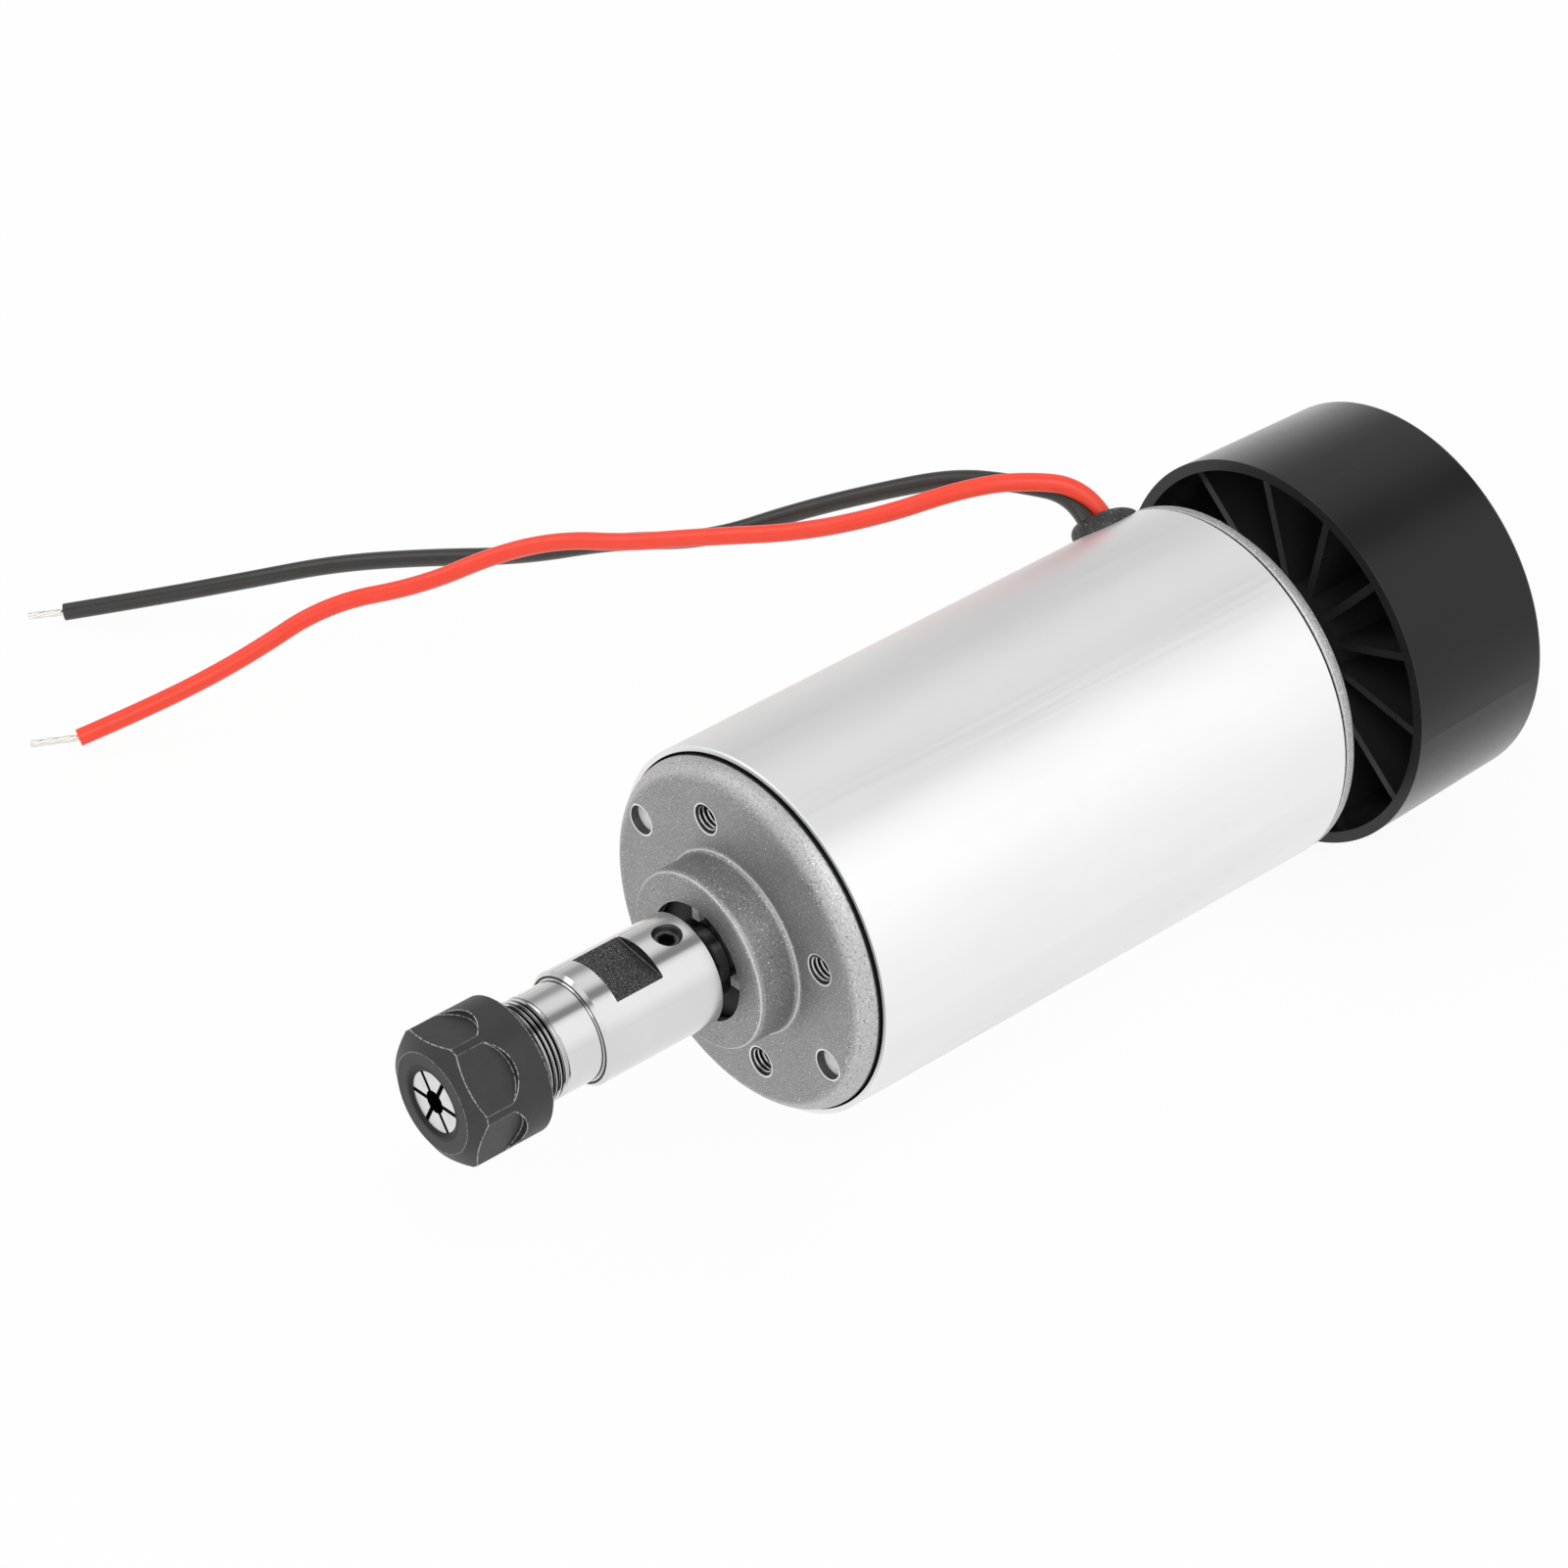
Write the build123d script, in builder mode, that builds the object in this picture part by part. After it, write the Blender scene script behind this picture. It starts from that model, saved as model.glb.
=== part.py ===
"""Brushed motor spindle, 52 mm body: collet nose, cast end caps, ball bearings, cooling fan and two leads.

Millimetres. +Y runs from the collet nose to the fan, +Z is up, +X is to the right looking along +Y.
The origin is the centre of the front mounting face, on the spindle axis.
"""
import os
from math import cos, degrees, pi, radians, sin, tan

from build123d import *

os.makedirs("parts", exist_ok=True)

# Clearances
seat_clearance = 0.02        # pressed, glued or screwed pieces of one body
running_clearance = 0.05     # turning or sliding pieces
guide_clearance = 0.10       # brush in its box
screw_clearance = 0.20       # bolt through a plain hole

# Housing tube
tube_radius = 26.0
tube_wall = 1.0
tube_length = 84.0
tube_start = 3.2             # the front cap stands this far out of the tube
tube_edge = 0.2
tube_inner_edge = 0.25       # leaves a fine groove round each end cap

# Front end cap
boss_radius = 12.65
boss_length = 6.25
boss_edge = 0.9
boss_root = 0.8
front_opening_radius = 8.45
front_lip = 1.25
front_web = 5.0
cap_skirt_wall = 1.8
front_skirt_depth = 6.0
tapped_hole_radius = 2.0     # M4, at the thread's outer radius
tapped_circle_margin = 4.85  # from the boss to the hole circle
tapped_count = 4
tapped_angle = 17.7
tapped_chamfer = 0.12
nib_count = 4
nib_angle = 4.0
nib_width = 1.3
nib_reach = 2.1
nib_thickness = 0.9

# Rear end cap
rear_cap_proud = 1.5
rear_web = 4.3
rear_lip = 2.5
rear_skirt_depth = 7.2
rear_opening_radius = 5.6
rear_hub_wall = 2.0
cap_edge_break = 0.4

# Through bolts, two M4
bolt_circle_inset = 4.5      # from the tube's bore to the bolt circle
bolt_angle = 153.4
bolt_radius = 2.0
bolt_head_radius = 3.5
bolt_head_height = 2.2
bolt_end_recess = 1.2
bolt_socket_flats = 2.5
bolt_socket_depth = 1.2

# Ball bearings, 8 x 22 x 7
shaft_radius = 4.0
bearing_radius = 11.0
bearing_width = 7.0
ball_radius = 1.984
ball_count = 7
inner_race_radius = 6.0
outer_race_bore = 9.0
seal_thickness = 0.6
seal_recess = 0.4
seal_lip_radius = 5.3        # the seal's lip runs in a step of the inner race
cage_thickness = 1.0
cage_margin = 0.1
washer_thickness = 0.5
washer_width = 2.2

# Shaft and armature
shaft_shoulder_radius = 5.0
shaft_collet_end = 19.4      # length of shaft in front of the front bearing
air_gap = 0.6                # between the core and the magnets
core_start = 17.0
commutator_space = 1.3       # between the end turns and the commutator
slot_count = 12
slot_opening = 1.6
tooth_width = 3.3128         # at the centre of the slot's outer end
slot_outer_inset = 3.1       # from the core's rim to the centre of the slot's outer end
tooth_root_width = 2.7693    # at the centre of the slot's inner end
slot_inner_inset = 8.4
insulator_thickness = 0.8
overhang_length = 6.5
overhang_inset = 2.4         # from the core's rim to the end turns
overhang_inner_radius = 6.8

# Commutator
commutator_radius = 10.5
commutator_bar_depth = 2.6
commutator_length = 9.0
commutator_gap = 0.5
commutator_bars = 12
riser_height = 1.5
riser_length = 1.2

# Magnets
magnet_thickness = 6.38
magnet_overlap = 4.0         # past each end of the core
magnet_span = 128.0
clip_thickness = 0.6
clip_inset = 4.5             # from each end of the magnets

# Brush gear, on the X axis
brush_width = 6.0
brush_height = 5.0
brush_box_wall = 0.7
brush_box_start = 12.4
brush_box_margin = 1.4       # between the brush box and the tube
brush_plate_thickness = 1.6
brush_plate_bore = 12.0
spring_wire = 0.5
spring_radius = 1.7
spring_turns = 4
spring_room = 3.85           # between the brush and the end of its box

# Collet holder
holder_gap = 1.9             # between the boss and the collar's rear face
collar_radius = 8.0
collar_length = 19.25
collar_chamfer = 0.5
neck_radius = 7.0
neck_length = 5.4
thread_radius = 7.0          # M14 x 0.75
thread_depth = 0.46
thread_length = 11.2
wrench_flat_start = 8.05     # from the collar's rear face
wrench_flat_length = 7.6
wrench_flat_across = 12.9
nose_angle = 83.0            # direction of the wrench flats and set screws
set_screw_start = 3.75
set_screw_radius = 2.0
set_screw_recess = 1.0
set_screw_flats = 2.0
set_screw_socket_depth = 1.4

# Collet, 8 degree taper
collet_length = 18.0
collet_radius = 5.75
collet_face_radius = 4.25
collet_taper = 8.0
collet_nose_angle = 30.0
collet_head_length = 3.4
collet_groove_length = 1.8
collet_shoulder = 0.15       # step from the head down to the tapered body
collet_standoff = 0.3        # the taper starts this far inside the holder
collet_groove_depth = 1.05
collet_bore_radius = 1.5875
collet_grip_length = 11.0
collet_relief_radius = 2.1
collet_slots = 6
collet_slot_width = 0.4
collet_slot_angle = 5.1
collet_web = 2.6             # left whole at the closed end of each slot

# Clamping nut
nut_radius = 9.5
nut_length = 12.0
nut_across_flats = 17.0
nut_flat_runout = 5.33
nut_flat_back = 4.3
nut_front_radius = 7.0
nut_front_chamfer = 1.5
nut_opening_radius = 4.8
nut_opening_chamfer = 0.4
nut_angle = 42.5
nut_rear_chamfer = 0.35
nut_lip_offset = 0.5

# Fan wheel
fan_radius = 28.55
fan_back_radius = 27.85
fan_wall = 1.6
fan_length = 24.5
fan_gap = 9.0                # open ring between the rear cap and the fan's lip
fan_back_wall = 2.0
fan_back_round = 0.7
fan_hub_radius = 8.0
fan_hub_lead = 1.5
fan_blades = 12
fan_blade_angle = 20.0
fan_blade_thickness = 1.2
fan_blade_setback = 5.5

# Lead grommet, in a notch at the rear edge of the tube
grommet_angle = 134.0
grommet_inset = 5.8          # from the rear edge of the tube to its centre
grommet_length = 9.8
grommet_width = 8.4
grommet_height = 2.1
grommet_rim = 0.5             # height of its domed flange at the ends
grommet_neck_width = 5.2
grommet_neck_length = 6.8
grommet_inside_depth = 1.5
grommet_flange = 1.1

# Leads: the points of each route, chosen by hand
lead_diameter = 2.3
tinned_diameter = 1.1
red_tinned_length = 6.5
black_tinned_length = 5.0
route_station = 81.4         # the grommet's station in the points below
red_route = [
    (-18.7, 83.0, 19.3),
    (-24.0, 80.3, 23.0),
    (-28.8, 75.6, 23.8),
    (-34.0, 69.5, 22.1),
    (-40.4, 62.3, 18.1),
    (-49.7, 55.2, 13.6),
    (-62.8, 48.8, 8.8),
    (-77.2, 43.2, 3.6),
    (-90.3, 36.4, -2.2),
    (-100.4, 27.4, -8.8),
    (-109.6, 17.2, -12.3),
    (-113.8, 5.5, -18.6),
    (-117.9, -7.0, -22.9),
    (-121.8, -18.0, -25.7),
]
black_route = [
    (-18.5, 80.1, 19.1),
    (-24.6, 77.6, 20.6),
    (-32.2, 76.5, 22.1),
    (-39.6, 73.6, 21.3),
    (-48.0, 68.0, 17.4),
    (-56.8, 60.9, 11.4),
    (-68.4, 53.9, 5.7),
    (-80.2, 47.0, -1.8),
    (-94.2, 41.1, -7.5),
    (-108.7, 35.2, -11.9),
    (-121.5, 27.7, -16.2),
    (-132.0, 18.5, -20.6),
    (-141.4, 8.3, -23.9),
    (-149.2, -0.9, -26.2),
]

# Stations along the axis
tube_bore = tube_radius - tube_wall
tube_end = tube_start + tube_length
cap_radius = tube_bore - seat_clearance
front_bearing_start = front_lip - boss_length
front_bearing_end = front_bearing_start + bearing_width
front_skirt_end = tube_start + front_skirt_depth
rear_cap_end = tube_end + rear_cap_proud
rear_web_start = rear_cap_end - rear_web
rear_skirt_start = rear_web_start - rear_skirt_depth
rear_bearing_end = rear_cap_end - rear_lip - washer_thickness
rear_bearing_start = rear_bearing_end - bearing_width
skirt_bore = cap_radius - cap_skirt_wall
tapped_circle_radius = boss_radius + tapped_circle_margin
bolt_circle_radius = tube_bore - bolt_circle_inset
bearing_seat_radius = bearing_radius + seat_clearance
bolt_head_face = rear_cap_end - bolt_head_height - screw_clearance
collar_start = -boss_length - holder_gap
collar_end = collar_start - collar_length
neck_end = collar_end - neck_length
holder_end = neck_end - thread_length
shaft_front_end = front_bearing_start - shaft_collet_end
taper_start = holder_end + collet_standoff
collet_front = taper_start - collet_groove_length - collet_head_length
collet_rear = collet_front + collet_length
nut_front = collet_front - nut_opening_chamfer
nut_rear = nut_front + nut_length
fan_front = rear_cap_end + fan_gap
fan_end = fan_front + fan_length
grommet_station = tube_end - grommet_inset
plate_end = rear_skirt_start
plate_start = plate_end - brush_plate_thickness
commutator_start = plate_start - commutator_length
core_end = commutator_start - commutator_space - overhang_length - insulator_thickness
core_length = core_end - core_start
magnet_outer_radius = tube_bore - seat_clearance
magnet_inner_radius = magnet_outer_radius - magnet_thickness
magnet_start = core_start - magnet_overlap
magnet_length = core_length + 2 * magnet_overlap
core_radius = magnet_inner_radius - air_gap
slot_outer_circle = core_radius - slot_outer_inset
slot_inner_circle = core_radius - slot_inner_inset
slot_outer_radius = slot_outer_circle * sin(pi / slot_count) - tooth_width / 2
slot_inner_radius = slot_inner_circle * sin(pi / slot_count) - tooth_root_width / 2
overhang_outer_radius = core_radius - overhang_inset
brush_box_height = brush_height + 2 * (guide_clearance + brush_box_wall)
brush_station = plate_start - brush_box_height / 2
brush_face = commutator_radius + running_clearance
brush_box_end = tube_bore - brush_box_margin
spring_seat = brush_box_end - brush_box_wall
brush_tail = spring_seat - spring_room
shaft_seat = shaft_radius + seat_clearance


def station(distance):
    """Plane square to the axis; a positive extrusion goes towards the nose."""
    return Plane.XZ.offset(-distance)


def radial_plane(angle, radius, distance):
    """Plane that faces outward at an angle about the axis, with its x along the axis."""
    outward = Vector(cos(radians(angle)), 0, sin(radians(angle)))
    return Plane(origin=outward * radius + Vector(0, distance, 0), x_dir=(0, 1, 0), z_dir=outward)


def axial_plane(angle):
    """Plane through the axis at an angle about it, with x outward and y along the axis."""
    outward = Vector(cos(radians(angle)), 0, sin(radians(angle)))
    return Plane(origin=(0, 0, 0), x_dir=outward, z_dir=outward.cross(Vector(0, 1, 0)))


def finish_piece(piece, label):
    """Label a piece and write it."""
    piece.label = label
    export_step(piece, f"parts/{label}.step")


# Housing tube: a steel tube with a notch at the rear edge for the grommet
with BuildPart() as housing_tube:
    with BuildSketch(station(tube_start)):
        Circle(tube_radius)
        Circle(tube_bore, mode=Mode.SUBTRACT)
    extrude(amount=-tube_length)
    ends = housing_tube.faces().filter_by(Axis.Y)
    outer_edges = [face.outer_wire().edges()[0] for face in ends]
    inner_edges = [face.inner_wires()[0].edges()[0] for face in ends]
    chamfer(outer_edges, length=tube_edge)
    chamfer(inner_edges, length=tube_inner_edge)
    notch_depth = tube_end - grommet_station + grommet_neck_length / 2
    with BuildSketch(radial_plane(grommet_angle, skirt_bore, grommet_station)):
        SlotOverall(grommet_neck_length + 2 * running_clearance,
                    grommet_neck_width + 2 * running_clearance)
        with Locations((notch_depth / 2, 0)):
            Rectangle(notch_depth, grommet_neck_width + 2 * running_clearance)
    extrude(amount=tube_radius, mode=Mode.SUBTRACT)
finish_piece(housing_tube.part, "housing_tube")

# Front end cap: a casting with a boss that holds the front bearing
with BuildPart() as front_end_cap:
    with BuildSketch(station(0)):
        Circle(cap_radius)
    extrude(amount=-front_skirt_end)
    fillet(front_end_cap.edges().sort_by(Axis.Y)[0], radius=tube_start)
    with BuildSketch(station(0)):
        Circle(boss_radius)
    extrude(amount=boss_length)
    boss_edges = front_end_cap.edges().filter_by(
        lambda edge: edge.geom_type == GeomType.CIRCLE and abs(edge.radius - boss_radius) < 0.01)
    fillet(boss_edges.sort_by(Axis.Y)[0], radius=boss_edge)
    boss_edges = front_end_cap.edges().filter_by(
        lambda edge: edge.geom_type == GeomType.CIRCLE and abs(edge.radius - boss_radius) < 0.01)
    fillet(boss_edges.sort_by(Axis.Y)[-1], radius=boss_root)
    with BuildSketch(station(front_web)):
        Circle(skirt_bore)
    extrude(amount=front_web - front_skirt_end, mode=Mode.SUBTRACT)
    with BuildSketch(station(front_bearing_start)):
        Circle(bearing_seat_radius)
    extrude(amount=front_bearing_start - front_web, mode=Mode.SUBTRACT)
    with BuildSketch(station(-boss_length)):
        Circle(front_opening_radius)
    extrude(amount=-front_lip, mode=Mode.SUBTRACT)
    with BuildSketch(station(front_bearing_start)):
        with PolarLocations(front_opening_radius, nib_count, start_angle=nib_angle):
            Rectangle(2 * nib_reach, nib_width)
    extrude(amount=nib_thickness)
    with BuildSketch(station(0)):
        with PolarLocations(tapped_circle_radius, tapped_count, start_angle=tapped_angle):
            Circle(tapped_hole_radius)
        with PolarLocations(bolt_circle_radius, 2, start_angle=bolt_angle):
            Circle(bolt_radius + seat_clearance)
    extrude(amount=-front_web, mode=Mode.SUBTRACT)
    tapped_mouths = front_end_cap.edges().filter_by(
        lambda edge: edge.geom_type == GeomType.CIRCLE
        and abs(edge.radius - tapped_hole_radius) < 0.001 and abs(edge.center().Y) < 0.001)
    chamfer(tapped_mouths, length=tapped_chamfer)
finish_piece(front_end_cap.part, "front_end_cap")

# Rear end cap: seats the rear bearing, and its skirt is notched for the grommet
with BuildPart() as rear_end_cap:
    with BuildSketch(station(rear_cap_end)):
        Circle(cap_radius)
    extrude(amount=rear_cap_end - rear_skirt_start)
    chamfer(rear_end_cap.edges().sort_by(Axis.Y)[-1], length=cap_edge_break)
    with BuildSketch(station(rear_web_start)):
        Circle(skirt_bore)
        Circle(bearing_radius + rear_hub_wall, mode=Mode.SUBTRACT)
    extrude(amount=rear_skirt_depth, mode=Mode.SUBTRACT)
    with BuildSketch(station(rear_bearing_start)):
        Circle(bearing_radius + rear_hub_wall + seat_clearance)
    extrude(amount=rear_bearing_start - rear_skirt_start, mode=Mode.SUBTRACT)
    with BuildSketch(station(rear_cap_end - rear_lip)):
        Circle(bearing_seat_radius)
    extrude(amount=rear_cap_end - rear_lip - rear_skirt_start, mode=Mode.SUBTRACT)
    with BuildSketch(station(rear_cap_end)):
        Circle(rear_opening_radius)
        with PolarLocations(bolt_circle_radius, 2, start_angle=bolt_angle):
            Circle(bolt_radius + screw_clearance)
    extrude(amount=rear_web, mode=Mode.SUBTRACT)
    with BuildSketch(station(rear_cap_end)):
        with PolarLocations(bolt_circle_radius, 2, start_angle=bolt_angle):
            Circle(bolt_head_radius + screw_clearance)
    extrude(amount=rear_cap_end - bolt_head_face, mode=Mode.SUBTRACT)
    with BuildSketch(radial_plane(grommet_angle, skirt_bore - grommet_flange, rear_skirt_start)):
        with Locations(((rear_web_start - rear_skirt_start) / 2 - seat_clearance, 0)):
            Rectangle(rear_web_start - rear_skirt_start + 2 * grommet_flange,
                      grommet_width + 2 * seat_clearance)
    extrude(amount=tube_radius, mode=Mode.SUBTRACT)
finish_piece(rear_end_cap.part, "rear_end_cap")

# Through bolts: socket heads in the rear cap, ends showing in the front cap
with BuildPart() as through_bolts:
    with BuildSketch(station(bolt_end_recess)):
        with PolarLocations(bolt_circle_radius, 2, start_angle=bolt_angle):
            Circle(bolt_radius)
    extrude(amount=bolt_end_recess - bolt_head_face)
    with BuildSketch(station(bolt_head_face)):
        with PolarLocations(bolt_circle_radius, 2, start_angle=bolt_angle):
            Circle(bolt_head_radius)
    extrude(amount=-bolt_head_height)
    with BuildSketch(station(bolt_head_face + bolt_head_height)):
        with PolarLocations(bolt_circle_radius, 2, start_angle=bolt_angle):
            RegularPolygon(bolt_socket_flats / 2, 6, major_radius=False)
    extrude(amount=bolt_socket_depth, mode=Mode.SUBTRACT)
finish_piece(through_bolts.part, "through_bolts")


def make_bearing(name, start):
    """One sealed ball bearing: two races, balls in their cage and two seals."""
    middle = start + bearing_width / 2
    ball_circle = (inner_race_radius + outer_race_bore) / 2
    groove_radius = ball_radius + running_clearance
    step_depth = seal_recess + seal_thickness + running_clearance
    cage_width = bearing_width - 2 * (seal_recess + seal_thickness + cage_margin)

    with BuildPart() as inner_race:
        with BuildSketch(Plane.XY):
            with Locations(((shaft_seat + inner_race_radius) / 2, middle)):
                Rectangle(inner_race_radius - shaft_seat, bearing_width)
            with Locations((ball_circle, middle)):
                Circle(groove_radius, mode=Mode.SUBTRACT)
            for side in (-1, 1):
                with Locations(((seal_lip_radius + inner_race_radius) / 2,
                                middle + side * (bearing_width - step_depth) / 2)):
                    Rectangle(inner_race_radius - seal_lip_radius, step_depth, mode=Mode.SUBTRACT)
        revolve(axis=Axis.Y)
    finish_piece(inner_race.part, f"{name}_inner_race")

    with BuildPart() as outer_race:
        with BuildSketch(Plane.XY):
            with Locations(((outer_race_bore + bearing_radius) / 2, middle)):
                Rectangle(bearing_radius - outer_race_bore, bearing_width)
            with Locations((ball_circle, middle)):
                Circle(groove_radius, mode=Mode.SUBTRACT)
        revolve(axis=Axis.Y)
    finish_piece(outer_race.part, f"{name}_outer_race")

    ball_turns = [360 / ball_count * step for step in range(ball_count)]
    with BuildPart() as balls:
        with Locations(*[radial_plane(turn, ball_circle, middle) for turn in ball_turns]):
            Sphere(ball_radius)
    finish_piece(balls.part, f"{name}_balls")

    with BuildPart() as cage:
        with BuildSketch(Plane.XY):
            with Locations((ball_circle, middle)):
                Rectangle(cage_thickness, cage_width)
        revolve(axis=Axis.Y)
        with Locations(*[radial_plane(turn, ball_circle, middle) for turn in ball_turns]):
            Cylinder(ball_radius + cage_margin, 2 * ball_radius, mode=Mode.SUBTRACT)
    finish_piece(cage.part, f"{name}_cage")

    with BuildPart() as seals:
        with BuildSketch(Plane.XY):
            for side in (-1, 1):
                seal_middle = middle + side * (bearing_width / 2 - seal_recess - seal_thickness / 2)
                with Locations(((seal_lip_radius + outer_race_bore + running_clearance) / 2, seal_middle)):
                    Rectangle(outer_race_bore - seal_lip_radius - running_clearance, seal_thickness)
        revolve(axis=Axis.Y)
    finish_piece(seals.part, f"{name}_seals")


make_bearing("front_bearing", front_bearing_start)
make_bearing("rear_bearing", rear_bearing_start)

# Preload washer between the rear cap and the rear bearing
with BuildPart() as preload_washer:
    with BuildSketch(station(rear_bearing_end)):
        Circle(bearing_radius)
        Circle(bearing_radius - washer_width, mode=Mode.SUBTRACT)
    extrude(amount=-washer_thickness)
finish_piece(preload_washer.part, "preload_washer")

# Motor shaft: shoulders locate both inner races
with BuildPart() as motor_shaft:
    with BuildSketch(station(shaft_front_end)):
        Circle(shaft_radius)
    extrude(amount=shaft_front_end - fan_end + fan_back_wall / 2)
    with BuildSketch(station(front_bearing_end)):
        Circle(shaft_shoulder_radius)
    extrude(amount=front_bearing_end - rear_bearing_start)
    chamfer(motor_shaft.edges().sort_by(Axis.Y)[0], length=collar_chamfer)
finish_piece(motor_shaft.part, "motor_shaft")


def slot_outline(shrink):
    """Closed part of one armature slot, shrunk by a liner's thickness."""
    with BuildSketch(mode=Mode.PRIVATE) as outline:
        with Locations((slot_outer_circle, 0)):
            Circle(slot_outer_radius - shrink)
        with Locations((slot_inner_circle, 0)):
            Circle(slot_inner_radius - shrink)
        make_hull()
    return outline.sketch


# Armature core: slotted laminations
with BuildPart() as armature_core:
    with BuildSketch(station(core_start)):
        Circle(core_radius)
        Circle(shaft_shoulder_radius + seat_clearance, mode=Mode.SUBTRACT)
        with PolarLocations(0, slot_count):
            add(slot_outline(0), mode=Mode.SUBTRACT)
            with Locations(((slot_outer_circle + core_radius + slot_opening) / 2, 0)):
                Rectangle(core_radius + slot_opening - slot_outer_circle, slot_opening, mode=Mode.SUBTRACT)
    extrude(amount=-core_length)
finish_piece(armature_core.part, "armature_core")

# Armature insulators: a fibre star on each face of the core
with BuildPart() as armature_insulators:
    with BuildSketch(station(core_start), station(core_end + insulator_thickness)):
        Circle(core_radius - slot_opening)
        Circle(shaft_shoulder_radius + seat_clearance, mode=Mode.SUBTRACT)
        with PolarLocations(0, slot_count):
            add(slot_outline(0), mode=Mode.SUBTRACT)
            with Locations(((slot_outer_circle + core_radius) / 2, 0)):
                Rectangle(core_radius - slot_outer_circle, slot_opening, mode=Mode.SUBTRACT)
    extrude(amount=insulator_thickness)
finish_piece(armature_insulators.part, "armature_insulators")

# Armature windings: a coil side in each slot and the end turns at both ends
with BuildPart() as armature_windings:
    with BuildSketch(station(core_start - insulator_thickness)):
        with PolarLocations(0, slot_count):
            add(slot_outline(guide_clearance))
    extrude(amount=-core_length - 2 * insulator_thickness)
    end_turns_middle = (overhang_outer_radius + overhang_inner_radius) / 2
    with BuildSketch(Plane.XY):
        for middle in (core_start - insulator_thickness - overhang_length / 2,
                       core_end + insulator_thickness + overhang_length / 2):
            with Locations((end_turns_middle, middle)):
                RectangleRounded(overhang_outer_radius - overhang_inner_radius, overhang_length,
                                 overhang_length / 3)
    revolve(axis=Axis.Y)
finish_piece(armature_windings.part, "armature_windings")

# Commutator: moulded hub and copper bars with risers
commutator_hub_radius = commutator_radius - commutator_bar_depth
with BuildPart() as commutator_hub:
    with BuildSketch(station(commutator_start)):
        Circle(commutator_hub_radius)
        Circle(shaft_shoulder_radius + seat_clearance, mode=Mode.SUBTRACT)
    extrude(amount=-commutator_length)
finish_piece(commutator_hub.part, "commutator_hub")

with BuildPart() as commutator:
    with BuildSketch(station(commutator_start)):
        Circle(commutator_radius)
        Circle(commutator_hub_radius + seat_clearance, mode=Mode.SUBTRACT)
    extrude(amount=-commutator_length)
    with BuildSketch(station(commutator_start)):
        Circle(commutator_radius + riser_height)
        Circle(commutator_hub_radius + seat_clearance, mode=Mode.SUBTRACT)
    extrude(amount=-riser_length)
    with BuildSketch(station(commutator_start)):
        with PolarLocations(commutator_radius, commutator_bars):
            Rectangle(2 * commutator_radius - 2 * shaft_shoulder_radius, commutator_gap)
    extrude(amount=-commutator_length, mode=Mode.SUBTRACT)
finish_piece(commutator.part, "commutator_bars")

# Magnets: two arcs glued in the tube, centred between the through bolts
for name, magnet_angle in (("magnet_upper", bolt_angle - 90), ("magnet_lower", bolt_angle + 90)):
    with BuildPart() as magnet:
        with BuildSketch(axial_plane(magnet_angle + magnet_span / 2)):
            with Locations(((magnet_inner_radius + magnet_outer_radius) / 2,
                            magnet_start + magnet_length / 2)):
                Rectangle(magnet_outer_radius - magnet_inner_radius, magnet_length)
        revolve(axis=Axis.Y, revolution_arc=magnet_span)
    finish_piece(magnet.part, name)

# Magnet clips: spring strips that push the magnets apart, outside the bolts
clip_span = 180 - magnet_span - 2 * degrees(seat_clearance / magnet_inner_radius)
clip_middle = magnet_start + magnet_length / 2
clip_length = magnet_length - 2 * clip_inset
with BuildPart() as magnet_clips:
    for middle_angle in (bolt_angle, bolt_angle + 180):
        with BuildSketch(axial_plane(middle_angle + clip_span / 2)):
            with Locations((magnet_outer_radius - clip_thickness / 2, clip_middle)):
                Rectangle(clip_thickness, clip_length)
        revolve(axis=Axis.Y, revolution_arc=clip_span)
        for side in (-1, 1):
            with BuildSketch(axial_plane(middle_angle + side * clip_span / 2)):
                with Locations((magnet_inner_radius + (magnet_thickness - seat_clearance) / 2, clip_middle)):
                    Rectangle(magnet_thickness - seat_clearance, clip_length)
            extrude(amount=-side * clip_thickness)
finish_piece(magnet_clips.part, "magnet_clips")

# Brush plate: an insulating disc on the rear cap's skirt
with BuildPart() as brush_plate:
    with BuildSketch(station(plate_end)):
        Circle(cap_radius - seat_clearance)
        Circle(brush_plate_bore, mode=Mode.SUBTRACT)
        with PolarLocations(bolt_circle_radius, 2, start_angle=bolt_angle):
            Circle(bolt_radius + screw_clearance, mode=Mode.SUBTRACT)
    extrude(amount=brush_plate_thickness)
    with BuildSketch(radial_plane(grommet_angle, skirt_bore - grommet_flange, plate_end)):
        Rectangle(2 * brush_plate_thickness + grommet_flange, grommet_width + 2 * seat_clearance)
    extrude(amount=tube_radius, mode=Mode.SUBTRACT)
finish_piece(brush_plate.part, "brush_plate")

# Brush holders: brass boxes, closed at the outer end
brush_channel_width = brush_width + 2 * guide_clearance
brush_channel_height = brush_height + 2 * guide_clearance
with BuildPart() as brush_holders:
    for angle in (0, 180):
        with BuildSketch(radial_plane(angle, brush_box_start, brush_station)):
            Rectangle(brush_box_height, brush_channel_width + 2 * brush_box_wall)
        extrude(amount=brush_box_end - brush_box_start)
        with BuildSketch(radial_plane(angle, brush_box_start, brush_station)):
            Rectangle(brush_channel_height, brush_channel_width)
        extrude(amount=spring_seat - brush_box_start, mode=Mode.SUBTRACT)
finish_piece(brush_holders.part, "brush_holders")

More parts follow.
